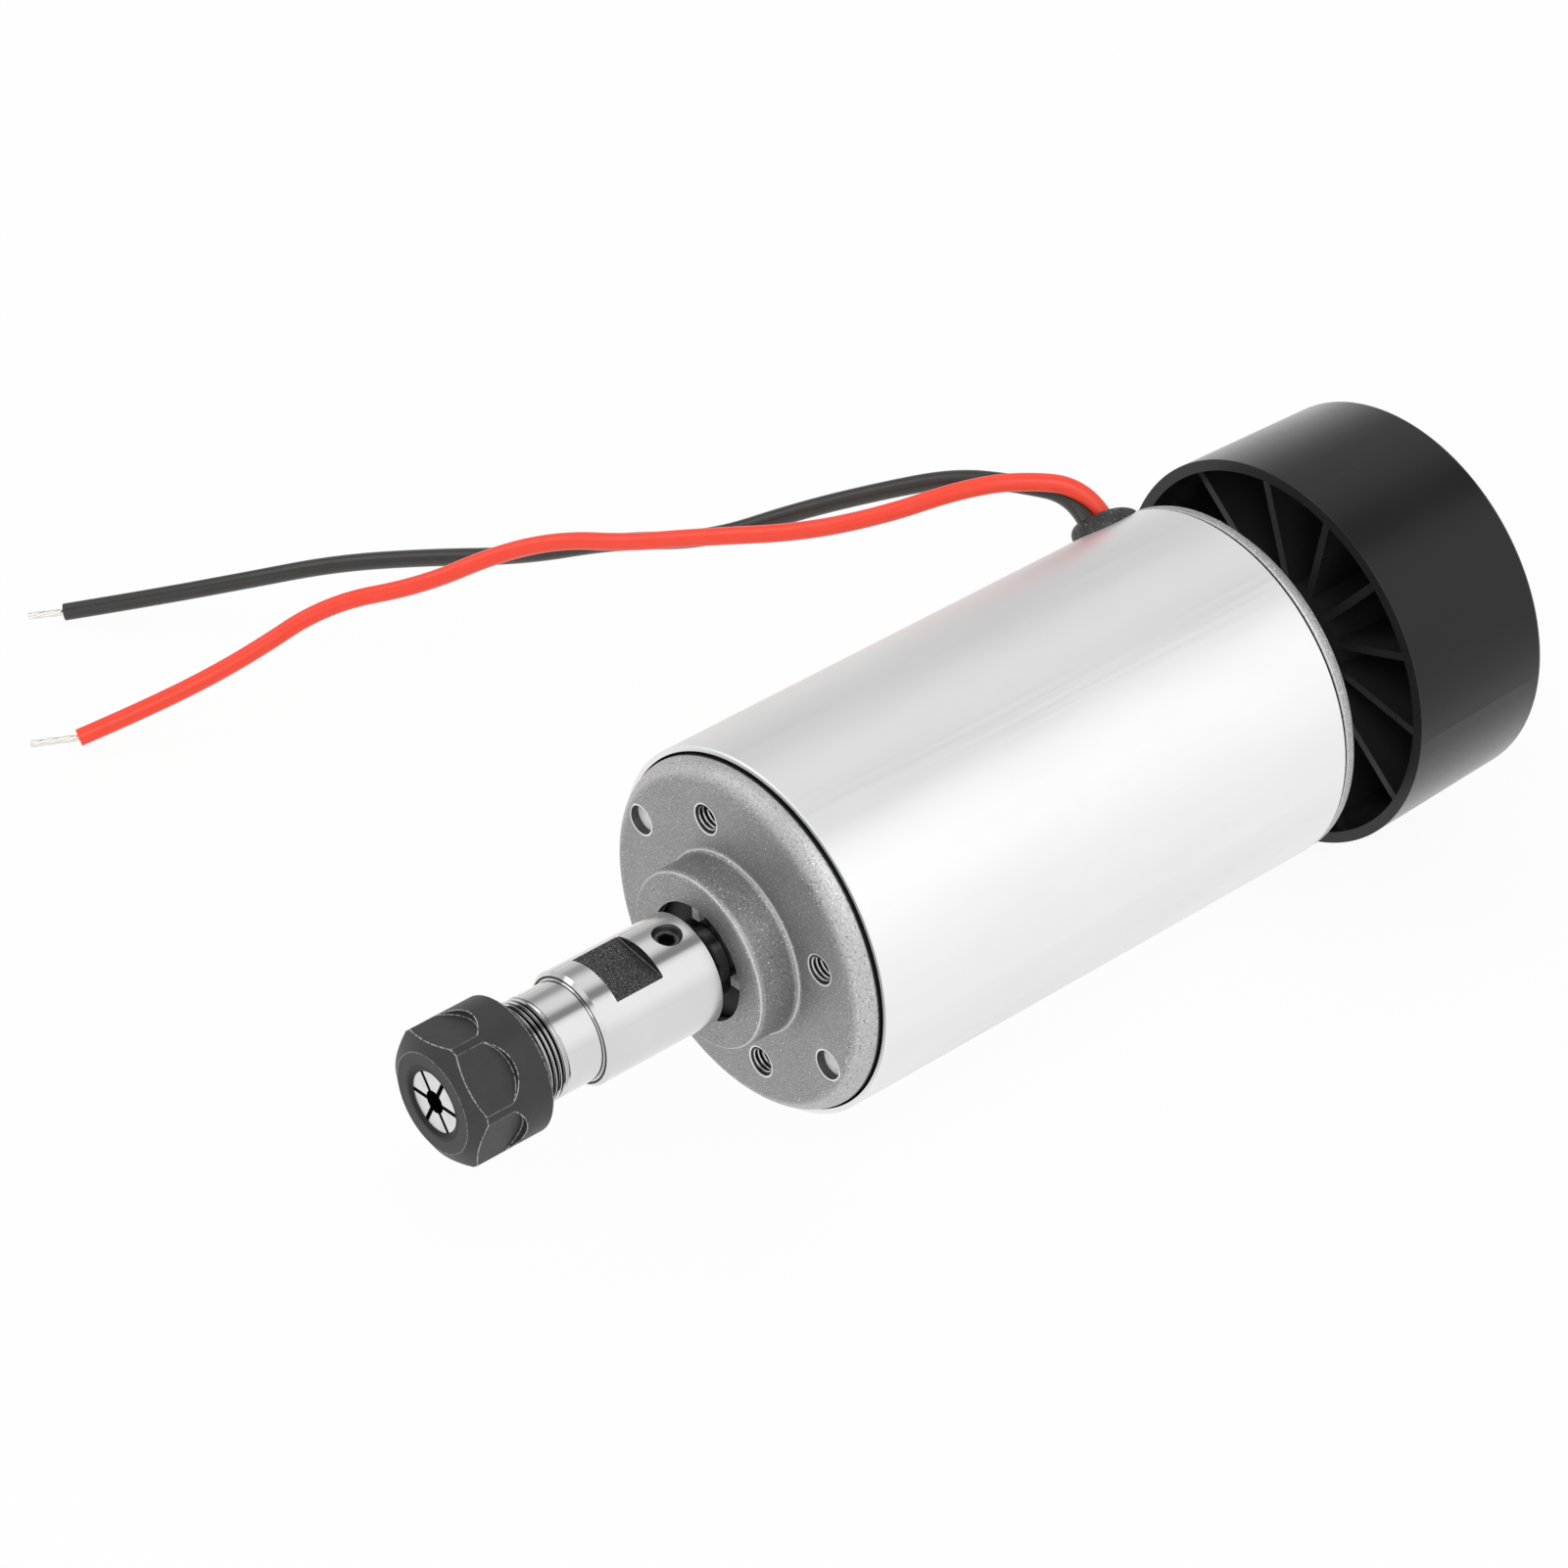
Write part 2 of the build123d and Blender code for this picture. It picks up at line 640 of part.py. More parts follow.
# Brushes and their springs: each brush is hollowed to the commutator's curve
for angle, side in ((0, "right"), (180, "left")):
    with BuildPart() as brush:
        with BuildSketch(radial_plane(angle, commutator_hub_radius, brush_station)):
            Rectangle(brush_height, brush_width)
        extrude(amount=brush_tail - commutator_hub_radius)
        with BuildSketch(station(brush_station - brush_height)):
            Circle(brush_face)
        extrude(amount=-2 * brush_height, mode=Mode.SUBTRACT)
    finish_piece(brush.part, f"brush_{side}")

    spring_free = spring_seat - brush_tail - 2 * seat_clearance
    spring_start = brush_tail + seat_clearance + spring_wire / 2
    coil_height = spring_free - spring_wire
    with BuildPart() as brush_spring:
        coil_plane = radial_plane(angle, spring_start, brush_station)
        with BuildLine():
            coil = Helix(coil_height / spring_turns, coil_height, spring_radius,
                         center=coil_plane.origin, direction=coil_plane.z_dir)
        with BuildSketch(Plane(origin=coil @ 0, z_dir=coil % 0)):
            Circle(spring_wire / 2)
        sweep(is_frenet=True)
    finish_piece(brush_spring.part, f"brush_spring_{side}")

# Collet holder: collar, neck, threaded nose and tapered seat
taper_slope = tan(radians(collet_taper))
collet_body_radius = collet_radius - collet_shoulder
holder_mouth_radius = collet_body_radius - (holder_end - taper_start) * taper_slope + running_clearance
holder_seat_end = collet_rear + 2 * collar_chamfer
holder_seat_end_radius = holder_mouth_radius - (holder_seat_end - holder_end) * taper_slope
thread_root_radius = thread_radius - thread_depth
with BuildPart() as collet_holder:
    with BuildSketch(Plane.XY):
        with BuildLine():
            Polyline(
                (shaft_seat, collar_start),
                (collar_radius - collar_chamfer, collar_start),
                (collar_radius, collar_start - collar_chamfer),
                (collar_radius, collar_end + collar_chamfer),
                (collar_radius - collar_chamfer, collar_end),
                (neck_radius, collar_end),
                (neck_radius, neck_end),
                (thread_root_radius, neck_end),
                (thread_root_radius, holder_end),
                (holder_mouth_radius, holder_end),
                (holder_seat_end_radius, holder_seat_end),
                (shaft_radius - 2 * collar_chamfer, holder_seat_end),
                (shaft_radius - 2 * collar_chamfer, shaft_front_end - collar_chamfer),
                (shaft_seat, shaft_front_end - collar_chamfer),
                close=True,
            )
        make_face()
    revolve(axis=Axis.Y)
    flat_middle = collar_start - wrench_flat_start - wrench_flat_length / 2
    for angle in (nose_angle, nose_angle + 180):
        with BuildSketch(radial_plane(angle, wrench_flat_across / 2, flat_middle)):
            Rectangle(wrench_flat_length, 2 * collar_radius)
        extrude(amount=collar_radius, mode=Mode.SUBTRACT)
        with BuildSketch(radial_plane(angle, 0, collar_start - set_screw_start)):
            Circle(set_screw_radius + seat_clearance)
        extrude(amount=collar_radius, mode=Mode.SUBTRACT)
finish_piece(collet_holder.part, "collet_holder")

# Set screws: two, opposite, tight on the shaft
with BuildPart() as set_screws:
    for angle in (nose_angle, nose_angle + 180):
        with BuildSketch(radial_plane(angle, shaft_seat, collar_start - set_screw_start)):
            Circle(set_screw_radius)
        extrude(amount=collar_radius - set_screw_recess - shaft_seat)
        with BuildSketch(radial_plane(angle, collar_radius - set_screw_recess,
                                      collar_start - set_screw_start)):
            RegularPolygon(set_screw_flats / 2, 6, major_radius=False)
        extrude(amount=-set_screw_socket_depth, mode=Mode.SUBTRACT)
finish_piece(set_screws.part, "set_screws")

# Collet: slotted from both ends, with the groove that the nut pulls it out by
nose_slope = tan(radians(collet_nose_angle))
nose_cone_length = (collet_radius - collet_face_radius) / nose_slope
collet_groove_radius = collet_radius - collet_groove_depth
collet_rear_radius = collet_body_radius - (collet_rear - taper_start) * taper_slope
with BuildPart() as collet:
    with BuildSketch(Plane.XY):
        with BuildLine():
            Polyline(
                (collet_bore_radius, collet_front),
                (collet_face_radius, collet_front),
                (collet_radius, collet_front + nose_cone_length),
                (collet_radius, collet_front + collet_head_length),
                (collet_groove_radius, collet_front + collet_head_length),
                (collet_groove_radius, taper_start),
                (collet_body_radius, taper_start),
                (collet_rear_radius, collet_rear),
                (collet_relief_radius, collet_rear),
                (collet_relief_radius, collet_front + collet_grip_length),
                (collet_bore_radius, collet_front + collet_grip_length),
                close=True,
            )
        make_face()
    revolve(axis=Axis.Y)
    collet_slot_depth = collet_length - collet_web
    for end, turn in ((collet_front, 0), (collet_front + collet_web, 180 / collet_slots)):
        with BuildSketch(station(end)):
            with PolarLocations(collet_radius / 2, collet_slots, start_angle=collet_slot_angle + turn):
                Rectangle(collet_radius * 1.2, collet_slot_width)
        extrude(amount=-collet_slot_depth, mode=Mode.SUBTRACT)
finish_piece(collet.part, "collet")

# Clamping nut: hexagon with round-ended flats, inner cone and the offset pull-out lip
nut_thread_bore = thread_root_radius + running_clearance
cone_start = collet_front
cone_end = collet_front + nose_cone_length
cone_gap = running_clearance / cos(radians(collet_nose_angle))
chamber_radius = collet_radius + running_clearance
lip_start = collet_front + collet_head_length + running_clearance
lip_end = holder_end - 2 * running_clearance
with BuildPart() as clamping_nut:
    with BuildSketch(Plane.XY):
        with BuildLine():
            Polyline(
                (nut_opening_radius, nut_front),
                (nut_front_radius, nut_front),
                (nut_radius, nut_front + nut_front_chamfer),
                (nut_radius, nut_rear - nut_rear_chamfer),
                (nut_radius - nut_rear_chamfer, nut_rear),
                (nut_thread_bore, nut_rear),
                (nut_thread_bore, holder_end - running_clearance),
                (chamber_radius, holder_end - running_clearance),
                (chamber_radius, cone_end),
                (collet_face_radius + cone_gap, cone_start),
                close=True,
            )
        make_face()
    revolve(axis=Axis.Y)
    lip_bore = collet_radius - collet_groove_depth / 2 + running_clearance
    with BuildSketch(station(lip_start)):
        Circle(chamber_radius + seat_clearance)
        with Locations((nut_lip_offset, 0)):
            Circle(lip_bore, mode=Mode.SUBTRACT)
    extrude(amount=lip_start - lip_end)
    flat_back = nut_rear - nut_flat_back - nut_flat_runout
    for step in range(6):
        with BuildSketch(radial_plane(nut_angle + 60 * step, nut_across_flats / 2, flat_back)):
            Circle(nut_flat_runout)
            with Locations((-nut_length / 2, 0)):
                Rectangle(nut_length, 2 * nut_flat_runout)
        extrude(amount=nut_radius, mode=Mode.SUBTRACT)
finish_piece(clamping_nut.part, "clamping_nut")

# Fan wheel: a drafted cup with straight radial blades and a hub on the shaft
fan_back_inside = fan_end - fan_back_wall
with BuildPart() as fan_wheel:
    with BuildSketch(Plane.XY):
        with BuildLine():
            Polyline(
                (shaft_seat, fan_end),
                (fan_back_radius, fan_end),
                (fan_radius, fan_front),
                (fan_radius - fan_wall, fan_front),
                (fan_back_radius - fan_wall, fan_back_inside),
                (fan_hub_radius, fan_back_inside),
                (fan_hub_radius, fan_front + fan_hub_lead),
                (shaft_seat, fan_front + fan_hub_lead),
                close=True,
            )
        make_face()
    revolve(axis=Axis.Y)
    back_edges = fan_wheel.edges().filter_by(
        lambda edge: edge.geom_type == GeomType.CIRCLE and abs(edge.radius - fan_back_radius) < 0.01)
    fillet(back_edges, radius=fan_back_round)
    blade_start = fan_hub_radius - fan_wall / 2
    blade_end = fan_back_radius - fan_wall / 2
    with BuildSketch(station(fan_back_inside)):
        with PolarLocations((blade_start + blade_end) / 2, fan_blades, start_angle=fan_blade_angle):
            Rectangle(blade_end - blade_start, fan_blade_thickness)
    extrude(amount=fan_back_inside - fan_front - fan_blade_setback)
finish_piece(fan_wheel.part, "fan_wheel")

# Lead grommet: an oval rubber bush with a domed flange outside the tube
with BuildPart() as lead_grommet:
    with BuildSketch(radial_plane(grommet_angle, skirt_bore, grommet_station)):
        SlotOverall(grommet_length, grommet_width)
    extrude(amount=tube_radius + grommet_height - skirt_bore)
    dome_rise = grommet_height - grommet_rim
    dome_radius = ((grommet_length / 2) ** 2 + dome_rise ** 2) / (2 * dome_rise)
    with Locations(radial_plane(grommet_angle, tube_radius + grommet_height - dome_radius, grommet_station)):
        Sphere(dome_radius, mode=Mode.INTERSECT)
    with BuildSketch(station(0)):
        Circle(tube_radius + seat_clearance)
    extrude(amount=-tube_end - grommet_length, mode=Mode.SUBTRACT)
    with BuildSketch(radial_plane(grommet_angle, skirt_bore, grommet_station)):
        SlotOverall(grommet_neck_length, grommet_neck_width)
    extrude(amount=tube_radius + grommet_height / 2 - skirt_bore)
    with BuildSketch(radial_plane(grommet_angle, skirt_bore, grommet_station)):
        SlotOverall(grommet_neck_length + grommet_flange, grommet_neck_width + grommet_flange)
    extrude(amount=grommet_inside_depth / 2)
finish_piece(lead_grommet.part, "lead_grommet")


def lead_radii(points):
    """Largest arc at each corner: 0.45 of the shorter run over the tangent of half the turn."""
    runs = [after - before for before, after in zip(points, points[1:])]
    return [0.45 * min(before.length, after.length) / tan(radians(before.get_angle(after) / 2))
            for before, after in zip(runs, runs[1:])]


def make_lead(route, tinned_length, colour):
    """One lead and its stripped, tinned end."""
    points = [Vector(*point) + Vector(0, grommet_station - route_station, 0) for point in route]
    radii = lead_radii(points)
    with BuildPart() as lead:
        with BuildLine():
            path = FilletPolyline(*points, radius=radii)
        with BuildSketch(Plane(origin=path @ 0, z_dir=path % 0)):
            Circle(lead_diameter / 2)
        sweep()
    section = pi * lead_diameter ** 2 / 4
    print(f"lead_{colour}: length {path.length:.1f}, radii", [round(radius, 1) for radius in radii],
          f"volume over section x length {lead.part.volume / (section * path.length):.4f}")
    finish_piece(lead.part, f"lead_{colour}")

    with BuildPart() as tinned_end:
        with BuildSketch(Plane(origin=path @ 1, z_dir=path % 1)):
            Circle(tinned_diameter / 2)
        extrude(amount=tinned_length)
    finish_piece(tinned_end.part, f"lead_{colour}_end")


make_lead(red_route, red_tinned_length, "red")
make_lead(black_route, black_tinned_length, "black")
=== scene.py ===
from math import cos, radians, sin, tau

import bmesh
import bpy
from mathutils import Matrix, Vector


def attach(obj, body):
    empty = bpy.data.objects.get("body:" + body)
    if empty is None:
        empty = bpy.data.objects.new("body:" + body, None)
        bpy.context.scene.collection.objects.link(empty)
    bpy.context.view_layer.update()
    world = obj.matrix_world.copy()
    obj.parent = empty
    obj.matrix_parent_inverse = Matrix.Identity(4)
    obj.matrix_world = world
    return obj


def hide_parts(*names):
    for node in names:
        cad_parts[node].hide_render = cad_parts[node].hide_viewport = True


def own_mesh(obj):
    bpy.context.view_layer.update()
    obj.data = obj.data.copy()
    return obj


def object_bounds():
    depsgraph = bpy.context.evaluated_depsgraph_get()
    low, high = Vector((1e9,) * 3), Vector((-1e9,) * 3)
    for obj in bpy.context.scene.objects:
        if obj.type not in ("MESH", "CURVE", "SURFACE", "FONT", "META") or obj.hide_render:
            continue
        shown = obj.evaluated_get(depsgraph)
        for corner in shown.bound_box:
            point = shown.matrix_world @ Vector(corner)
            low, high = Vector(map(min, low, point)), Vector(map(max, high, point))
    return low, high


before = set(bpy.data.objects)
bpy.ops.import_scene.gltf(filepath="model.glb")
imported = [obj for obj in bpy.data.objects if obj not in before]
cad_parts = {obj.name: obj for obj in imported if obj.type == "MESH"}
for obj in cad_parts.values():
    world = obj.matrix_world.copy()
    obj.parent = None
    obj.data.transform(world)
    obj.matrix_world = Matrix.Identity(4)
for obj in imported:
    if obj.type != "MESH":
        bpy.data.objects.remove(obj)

bpy.context.view_layer.update()
cad_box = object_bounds()
mm = 0.001


# Motor shaft
# A ground steel rod with a thicker middle, whose shoulders locate the two ball bearings.
# The collet holder is held on its front end by two set screws, and the fan is pressed on its rear end.
def shade(red, green=None, blue=None):
    """Colour from the 0 to 255 values that a screen shows."""
    values = (red, red if green is None else green, red if blue is None else blue)
    return [((v / 255 + 0.055) / 1.055) ** 2.4 if v > 10 else v / 255 / 12.92 for v in values] + [1.0]


class Finish:
    """A surface finish being made: one shader, with patterns on the piece's own coordinates."""

    def __init__(self, name, metallic=0.0):
        self.material = bpy.data.materials.new(name)
        self.material.use_nodes = True
        self.nodes, self.links = self.material.node_tree.nodes, self.material.node_tree.links
        self.shader = self.nodes["Principled BSDF"]
        self.shader.inputs["Metallic"].default_value = metallic
        self.spot = self.nodes.new("ShaderNodeTexCoord").outputs["Object"]
        self.normal = None

    def wire(self, value, socket):
        """Give a socket a number or a colour, or link it to a pattern."""
        if isinstance(value, bpy.types.NodeSocket):
            self.links.new(value, socket)
        else:
            socket.default_value = value

    def clouds(self, size, detail=3.0, stretch=(1, 1, 1)):
        """Cloudy pattern from 0 to 1, with clouds of that size, stretched along X, Y and Z."""
        mapping = self.nodes.new("ShaderNodeMapping")
        self.links.new(self.spot, mapping.inputs["Vector"])
        mapping.inputs["Scale"].default_value = [1 / (size * share) for share in stretch]
        noise = self.nodes.new("ShaderNodeTexNoise")
        noise.inputs["Scale"].default_value = 1.0
        noise.inputs["Detail"].default_value = detail
        self.links.new(mapping.outputs["Vector"], noise.inputs["Vector"])
        return noise.outputs[0]

    def work(self, operation, first, second=0.0):
        """Arithmetic on two patterns or numbers."""
        node = self.nodes.new("ShaderNodeMath")
        node.operation = operation
        self.wire(first, node.inputs[0])
        self.wire(second, node.inputs[1])
        return node.outputs[0]

    def between(self, value, low, high, start=0.0, end=1.0):
        """A pattern's range from low to high, spread from start to end and held outside it."""
        node = self.nodes.new("ShaderNodeMapRange")
        for name, number in (("Value", value), ("From Min", low), ("From Max", high),
                             ("To Min", start), ("To Max", end)):
            self.wire(number, node.inputs[name])
        return node.outputs["Result"]

    def blend(self, share, first, second):
        """Colour that goes from the first to the second."""
        node = self.nodes.new("ShaderNodeMix")
        node.data_type = "RGBA"
        self.wire(share, node.inputs[0])
        self.wire(first, node.inputs[6])
        self.wire(second, node.inputs[7])
        return node.outputs[2]

    def axis(self, name):
        """The piece's own X, Y or Z, in metres."""
        node = self.nodes.new("ShaderNodeSeparateXYZ")
        self.links.new(self.spot, node.inputs[0])
        return node.outputs[name]

    def length(self, first, second):
        """Straight distance over two distances at right angles."""
        squares = [self.work("MULTIPLY", side, side) for side in (first, second)]
        return self.work("POWER", self.work("ADD", *squares), 0.5)

    def across(self):
        """Distance from the shaft's own line, in metres."""
        return self.length(self.axis("X"), self.axis("Z"))

    def away(self, value, middle):
        """How far a pattern is from a number, on either side of it."""
        return self.work("ABSOLUTE", self.work("SUBTRACT", value, middle))

    def turned(self, turn):
        """Distances along and beside a line across the shaft, turned from X, in metres."""
        x, z = self.axis("X"), self.axis("Z")
        along = self.work("ADD", self.work("MULTIPLY", x, cos(turn)), self.work("MULTIPLY", z, sin(turn)))
        beside = self.work("SUBTRACT", self.work("MULTIPLY", z, cos(turn)),
                           self.work("MULTIPLY", x, sin(turn)))
        return along, beside

    def colour(self, value):
        self.wire(value, self.shader.inputs["Base Color"])

    def roughness(self, value):
        self.wire(value, self.shader.inputs["Roughness"])

    def relief(self, height, depth):
        """Fine relief of that depth in metres, on top of what is there."""
        bump = self.nodes.new("ShaderNodeBump")
        bump.inputs["Distance"].default_value = depth
        self.links.new(height, bump.inputs["Height"])
        if self.normal:
            self.links.new(self.normal, bump.inputs["Normal"])
        self.normal = bump.outputs["Normal"]
        self.links.new(self.normal, self.shader.inputs["Normal"])


def coat(finish, *names):
    """Give CAD nodes a finish."""
    for name in names:
        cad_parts[name].material_slots[0].material = finish.material


turned_steel = Finish("turned_steel", metallic=1.0)
turning_marks = turned_steel.clouds(0.18 * mm, 2.0, (80, 1, 80))
turned_steel.colour(turned_steel.blend(turned_steel.clouds(9 * mm), shade(196), shade(214)))
turned_steel.roughness(turned_steel.between(turning_marks, 0.3, 0.7, 0.16, 0.28))
turned_steel.relief(turning_marks, 0.002 * mm)
coat(turned_steel, "motor_shaft")

# Armature
# Stacked steel laminations with a fibre star on each face, and enamelled copper wire wound in the
# twelve slots. The stack is pressed on the thick part of the shaft and the coils are varnished.
laminations = Finish("laminations", metallic=0.8)
sheets = laminations.nodes.new("ShaderNodeTexWave")
sheets.bands_direction = "Y"
sheets.inputs["Scale"].default_value = 0.314 / (0.5 * mm)
sheets.inputs["Distortion"].default_value = 0.2
laminations.links.new(laminations.spot, sheets.inputs["Vector"])
laminations.colour(laminations.blend(sheets.outputs[1], shade(70, 72, 78), shade(135, 136, 140)))
laminations.roughness(laminations.between(laminations.clouds(2 * mm), 0.3, 0.7, 0.35, 0.55))
laminations.relief(sheets.outputs[1], 0.05 * mm)
coat(laminations, "armature_core")

fibre = Finish("fibre")
fibre_strands = fibre.clouds(0.3 * mm, 4.0)
fibre.colour(fibre.blend(fibre_strands, shade(86, 60, 44), shade(132, 96, 70)))
fibre.roughness(fibre.between(fibre_strands, 0.3, 0.7, 0.6, 0.8))
fibre.relief(fibre_strands, 0.03 * mm)
coat(fibre, "armature_insulators")

enamelled_copper = Finish("enamelled_copper", metallic=0.7)
wires = enamelled_copper.nodes.new("ShaderNodeTexWave")
wires.wave_type = "RINGS"
wires.rings_direction = "Y"
wires.inputs["Scale"].default_value = 0.314 / (0.45 * mm)
wires.inputs["Distortion"].default_value = 1.2
wires.inputs["Detail Scale"].default_value = 0.3
enamelled_copper.links.new(enamelled_copper.spot, wires.inputs["Vector"])
enamelled_copper.colour(enamelled_copper.blend(wires.outputs[1], shade(98, 42, 20), shade(196, 104, 62)))
enamelled_copper.roughness(enamelled_copper.between(enamelled_copper.clouds(3 * mm), 0.3, 0.7, 0.22, 0.4))
enamelled_copper.relief(wires.outputs[1], 0.12 * mm)
coat(enamelled_copper, "armature_windings")

# Commutator
# Twelve hard copper bars with risers for the wire ends, held in a moulded phenolic hub.
# It is pressed on the shaft behind the end turns, and the brushes leave a dull track on it.
phenolic = Finish("phenolic")
phenolic_fill = phenolic.clouds(0.5 * mm, 5.0)
phenolic.colour(phenolic.blend(phenolic_fill, shade(38, 30, 24), shade(66, 52, 42)))
phenolic.roughness(phenolic.between(phenolic_fill, 0.3, 0.7, 0.35, 0.55))
phenolic.relief(phenolic_fill, 0.01 * mm)
coat(phenolic, "commutator_hub")

bar_copper = Finish("bar_copper", metallic=1.0)
brushes_at = 72.3 * mm
brush_track = bar_copper.between(bar_copper.away(bar_copper.axis("Y"), brushes_at), 2.4 * mm, 3.0 * mm)
bar_grooves = bar_copper.clouds(0.12 * mm, 2.0, (60, 1, 60))
bar_copper.colour(bar_copper.blend(brush_track, shade(128, 74, 50), shade(208, 130, 92)))
bar_copper.roughness(bar_copper.between(bar_grooves, 0.3, 0.7, 0.25, 0.45))
bar_copper.relief(bar_grooves, 0.006 * mm)
coat(bar_copper, "commutator_bars")

# Ball bearings
# Two sealed ball bearings of 8 x 22 x 7: hardened chrome steel races and balls, a pressed steel cage and
# black rubber seals. The front one sits in the front cap's boss, the front face of its inner race painted
# near black as painted shade deep in the bore, and the rear one in the rear cap.
bearing_steel = Finish("bearing_steel", metallic=1.0)
# Painted shade: the front face of the front bearing's inner race is painted near black, as the shade in the
# bore.
race_painted_shade = bearing_steel.work("MULTIPLY", bearing_steel.between(bearing_steel.across(), 6.1 * mm, 6.0 * mm),
                              bearing_steel.between(bearing_steel.axis("Y"), -4.8 * mm, -4.9 * mm))
bearing_bright = bearing_steel.blend(bearing_steel.clouds(4 * mm), shade(196), shade(218))
bearing_steel.colour(bearing_steel.blend(race_painted_shade, bearing_bright, shade(26)))
bearing_marks = bearing_steel.clouds(0.15 * mm, 2.0, (40, 1, 40))
bearing_steel.roughness(bearing_steel.between(bearing_marks, 0.3, 0.7, 0.08, 0.2))
pressed_steel = Finish("pressed_steel", metallic=1.0)
pressed_grain = pressed_steel.clouds(0.4 * mm, 4.0)
pressed_steel.colour(pressed_steel.blend(pressed_grain, shade(140, 138, 134), shade(178, 176, 170)))
pressed_steel.roughness(pressed_steel.between(pressed_grain, 0.3, 0.7, 0.28, 0.42))
pressed_steel.relief(pressed_grain, 0.004 * mm)
seal_rubber = Finish("seal_rubber")
seal_grain = seal_rubber.clouds(0.25 * mm, 4.0)
seal_rubber.colour(seal_rubber.blend(seal_grain, shade(8), shade(14)))
seal_rubber.roughness(seal_rubber.between(seal_grain, 0.3, 0.7, 0.35, 0.5))
seal_rubber.shader.inputs["Specular IOR Level"].default_value = 0.25
seal_rubber.relief(seal_grain, 0.008 * mm)
for bearing in ("front_bearing", "rear_bearing"):
    coat(bearing_steel, f"{bearing}_inner_race", f"{bearing}_outer_race", f"{bearing}_balls")
    coat(pressed_steel, f"{bearing}_cage")
    coat(seal_rubber, f"{bearing}_seals")


# Housing tube
# A drawn steel tube with a satin nickel plate, with a notch for the grommet in its rear edge. The front cap
# sits in it in a fine groove, and its rear edge meets the rear cap's flange. Drawing leaves faint lines. The
# tube's inner face is painted near black, as painted shade in the gap round the front cap.
def carried(piece, body, slot, *stands_for):
    """Fix a piece to the body that carries it, and hide the nodes it stands for. Its slot, the finish's name,
    is not used.
    """
    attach(piece, body)
    if stands_for:
        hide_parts(*stands_for)
    return piece


def remade(name, node):
    """A merged copy of a CAD node, with its flats whole again."""
    shape = bmesh.new()
    shape.from_mesh(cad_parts[node].data)
    bmesh.ops.remove_doubles(shape, verts=shape.verts, dist=0.002 * mm)
    bmesh.ops.dissolve_limit(shape, angle_limit=radians(0.4), verts=shape.verts, edges=shape.edges)
    mesh = bpy.data.meshes.new(name)
    shape.to_mesh(mesh)
    shape.free()
    for spare in ("custom_normal", "sharp_face"):
        if spare in mesh.attributes:
            mesh.attributes.remove(mesh.attributes[spare])
    mesh.shade_smooth()
    mesh.set_sharp_from_angle(angle=radians(24))
    piece = bpy.data.objects.new(name, mesh)
    bpy.context.scene.collection.objects.link(piece)
    return piece


tube_steel = Finish("tube_steel", metallic=1.0)
drawn_lines = tube_steel.clouds(0.5 * mm, 3.0, (1, 60, 1))
plate_clouds = tube_steel.clouds(7 * mm, 3.0, (1, 3, 1))
plate_grain = tube_steel.clouds(0.14 * mm, 2.0)
tube_skin = tube_steel.blend(plate_clouds, shade(238), shade(246))
# Painted shade: inside 25.24 mm across, the tube is painted near black, as the shade in the gap round the
# caps.
tube_gap_painted_shade = tube_steel.between(tube_steel.across(), 25.27 * mm, 25.24 * mm)
tube_steel.colour(tube_steel.blend(tube_gap_painted_shade, tube_skin, shade(34)))
tube_steel.roughness(tube_steel.between(drawn_lines, 0.3, 0.7, 0.46, 0.53))
tube_steel.relief(drawn_lines, 0.0012 * mm)
tube_steel.relief(plate_grain, 0.0012 * mm)
tube = remade("tube", "housing_tube")
rear_edge_from, rear_edge_shift = 86.5 * mm, 1.35 * mm  # the tube ends in front of the rear cap's flange
for corner in tube.data.vertices:
    if corner.co.y > rear_edge_from:
        corner.co.y -= rear_edge_shift
tube.data.materials.append(tube_steel.material)
carried(tube, "housing", "tube_steel", "housing_tube")

# Magnets and clips
# Two sintered ferrite arcs, ground inside and out and glued in the tube.
# Two spring steel clips push them apart and keep the through bolts clear.
ferrite = Finish("ferrite")
ferrite_grain = ferrite.clouds(0.35 * mm, 5.0)
ferrite.colour(ferrite.blend(ferrite_grain, shade(40, 40, 43), shade(74, 74, 78)))
ferrite.roughness(ferrite.between(ferrite_grain, 0.3, 0.7, 0.5, 0.75))
ferrite.relief(ferrite_grain, 0.02 * mm)
coat(ferrite, "magnet_upper", "magnet_lower")
coat(pressed_steel, "magnet_clips")
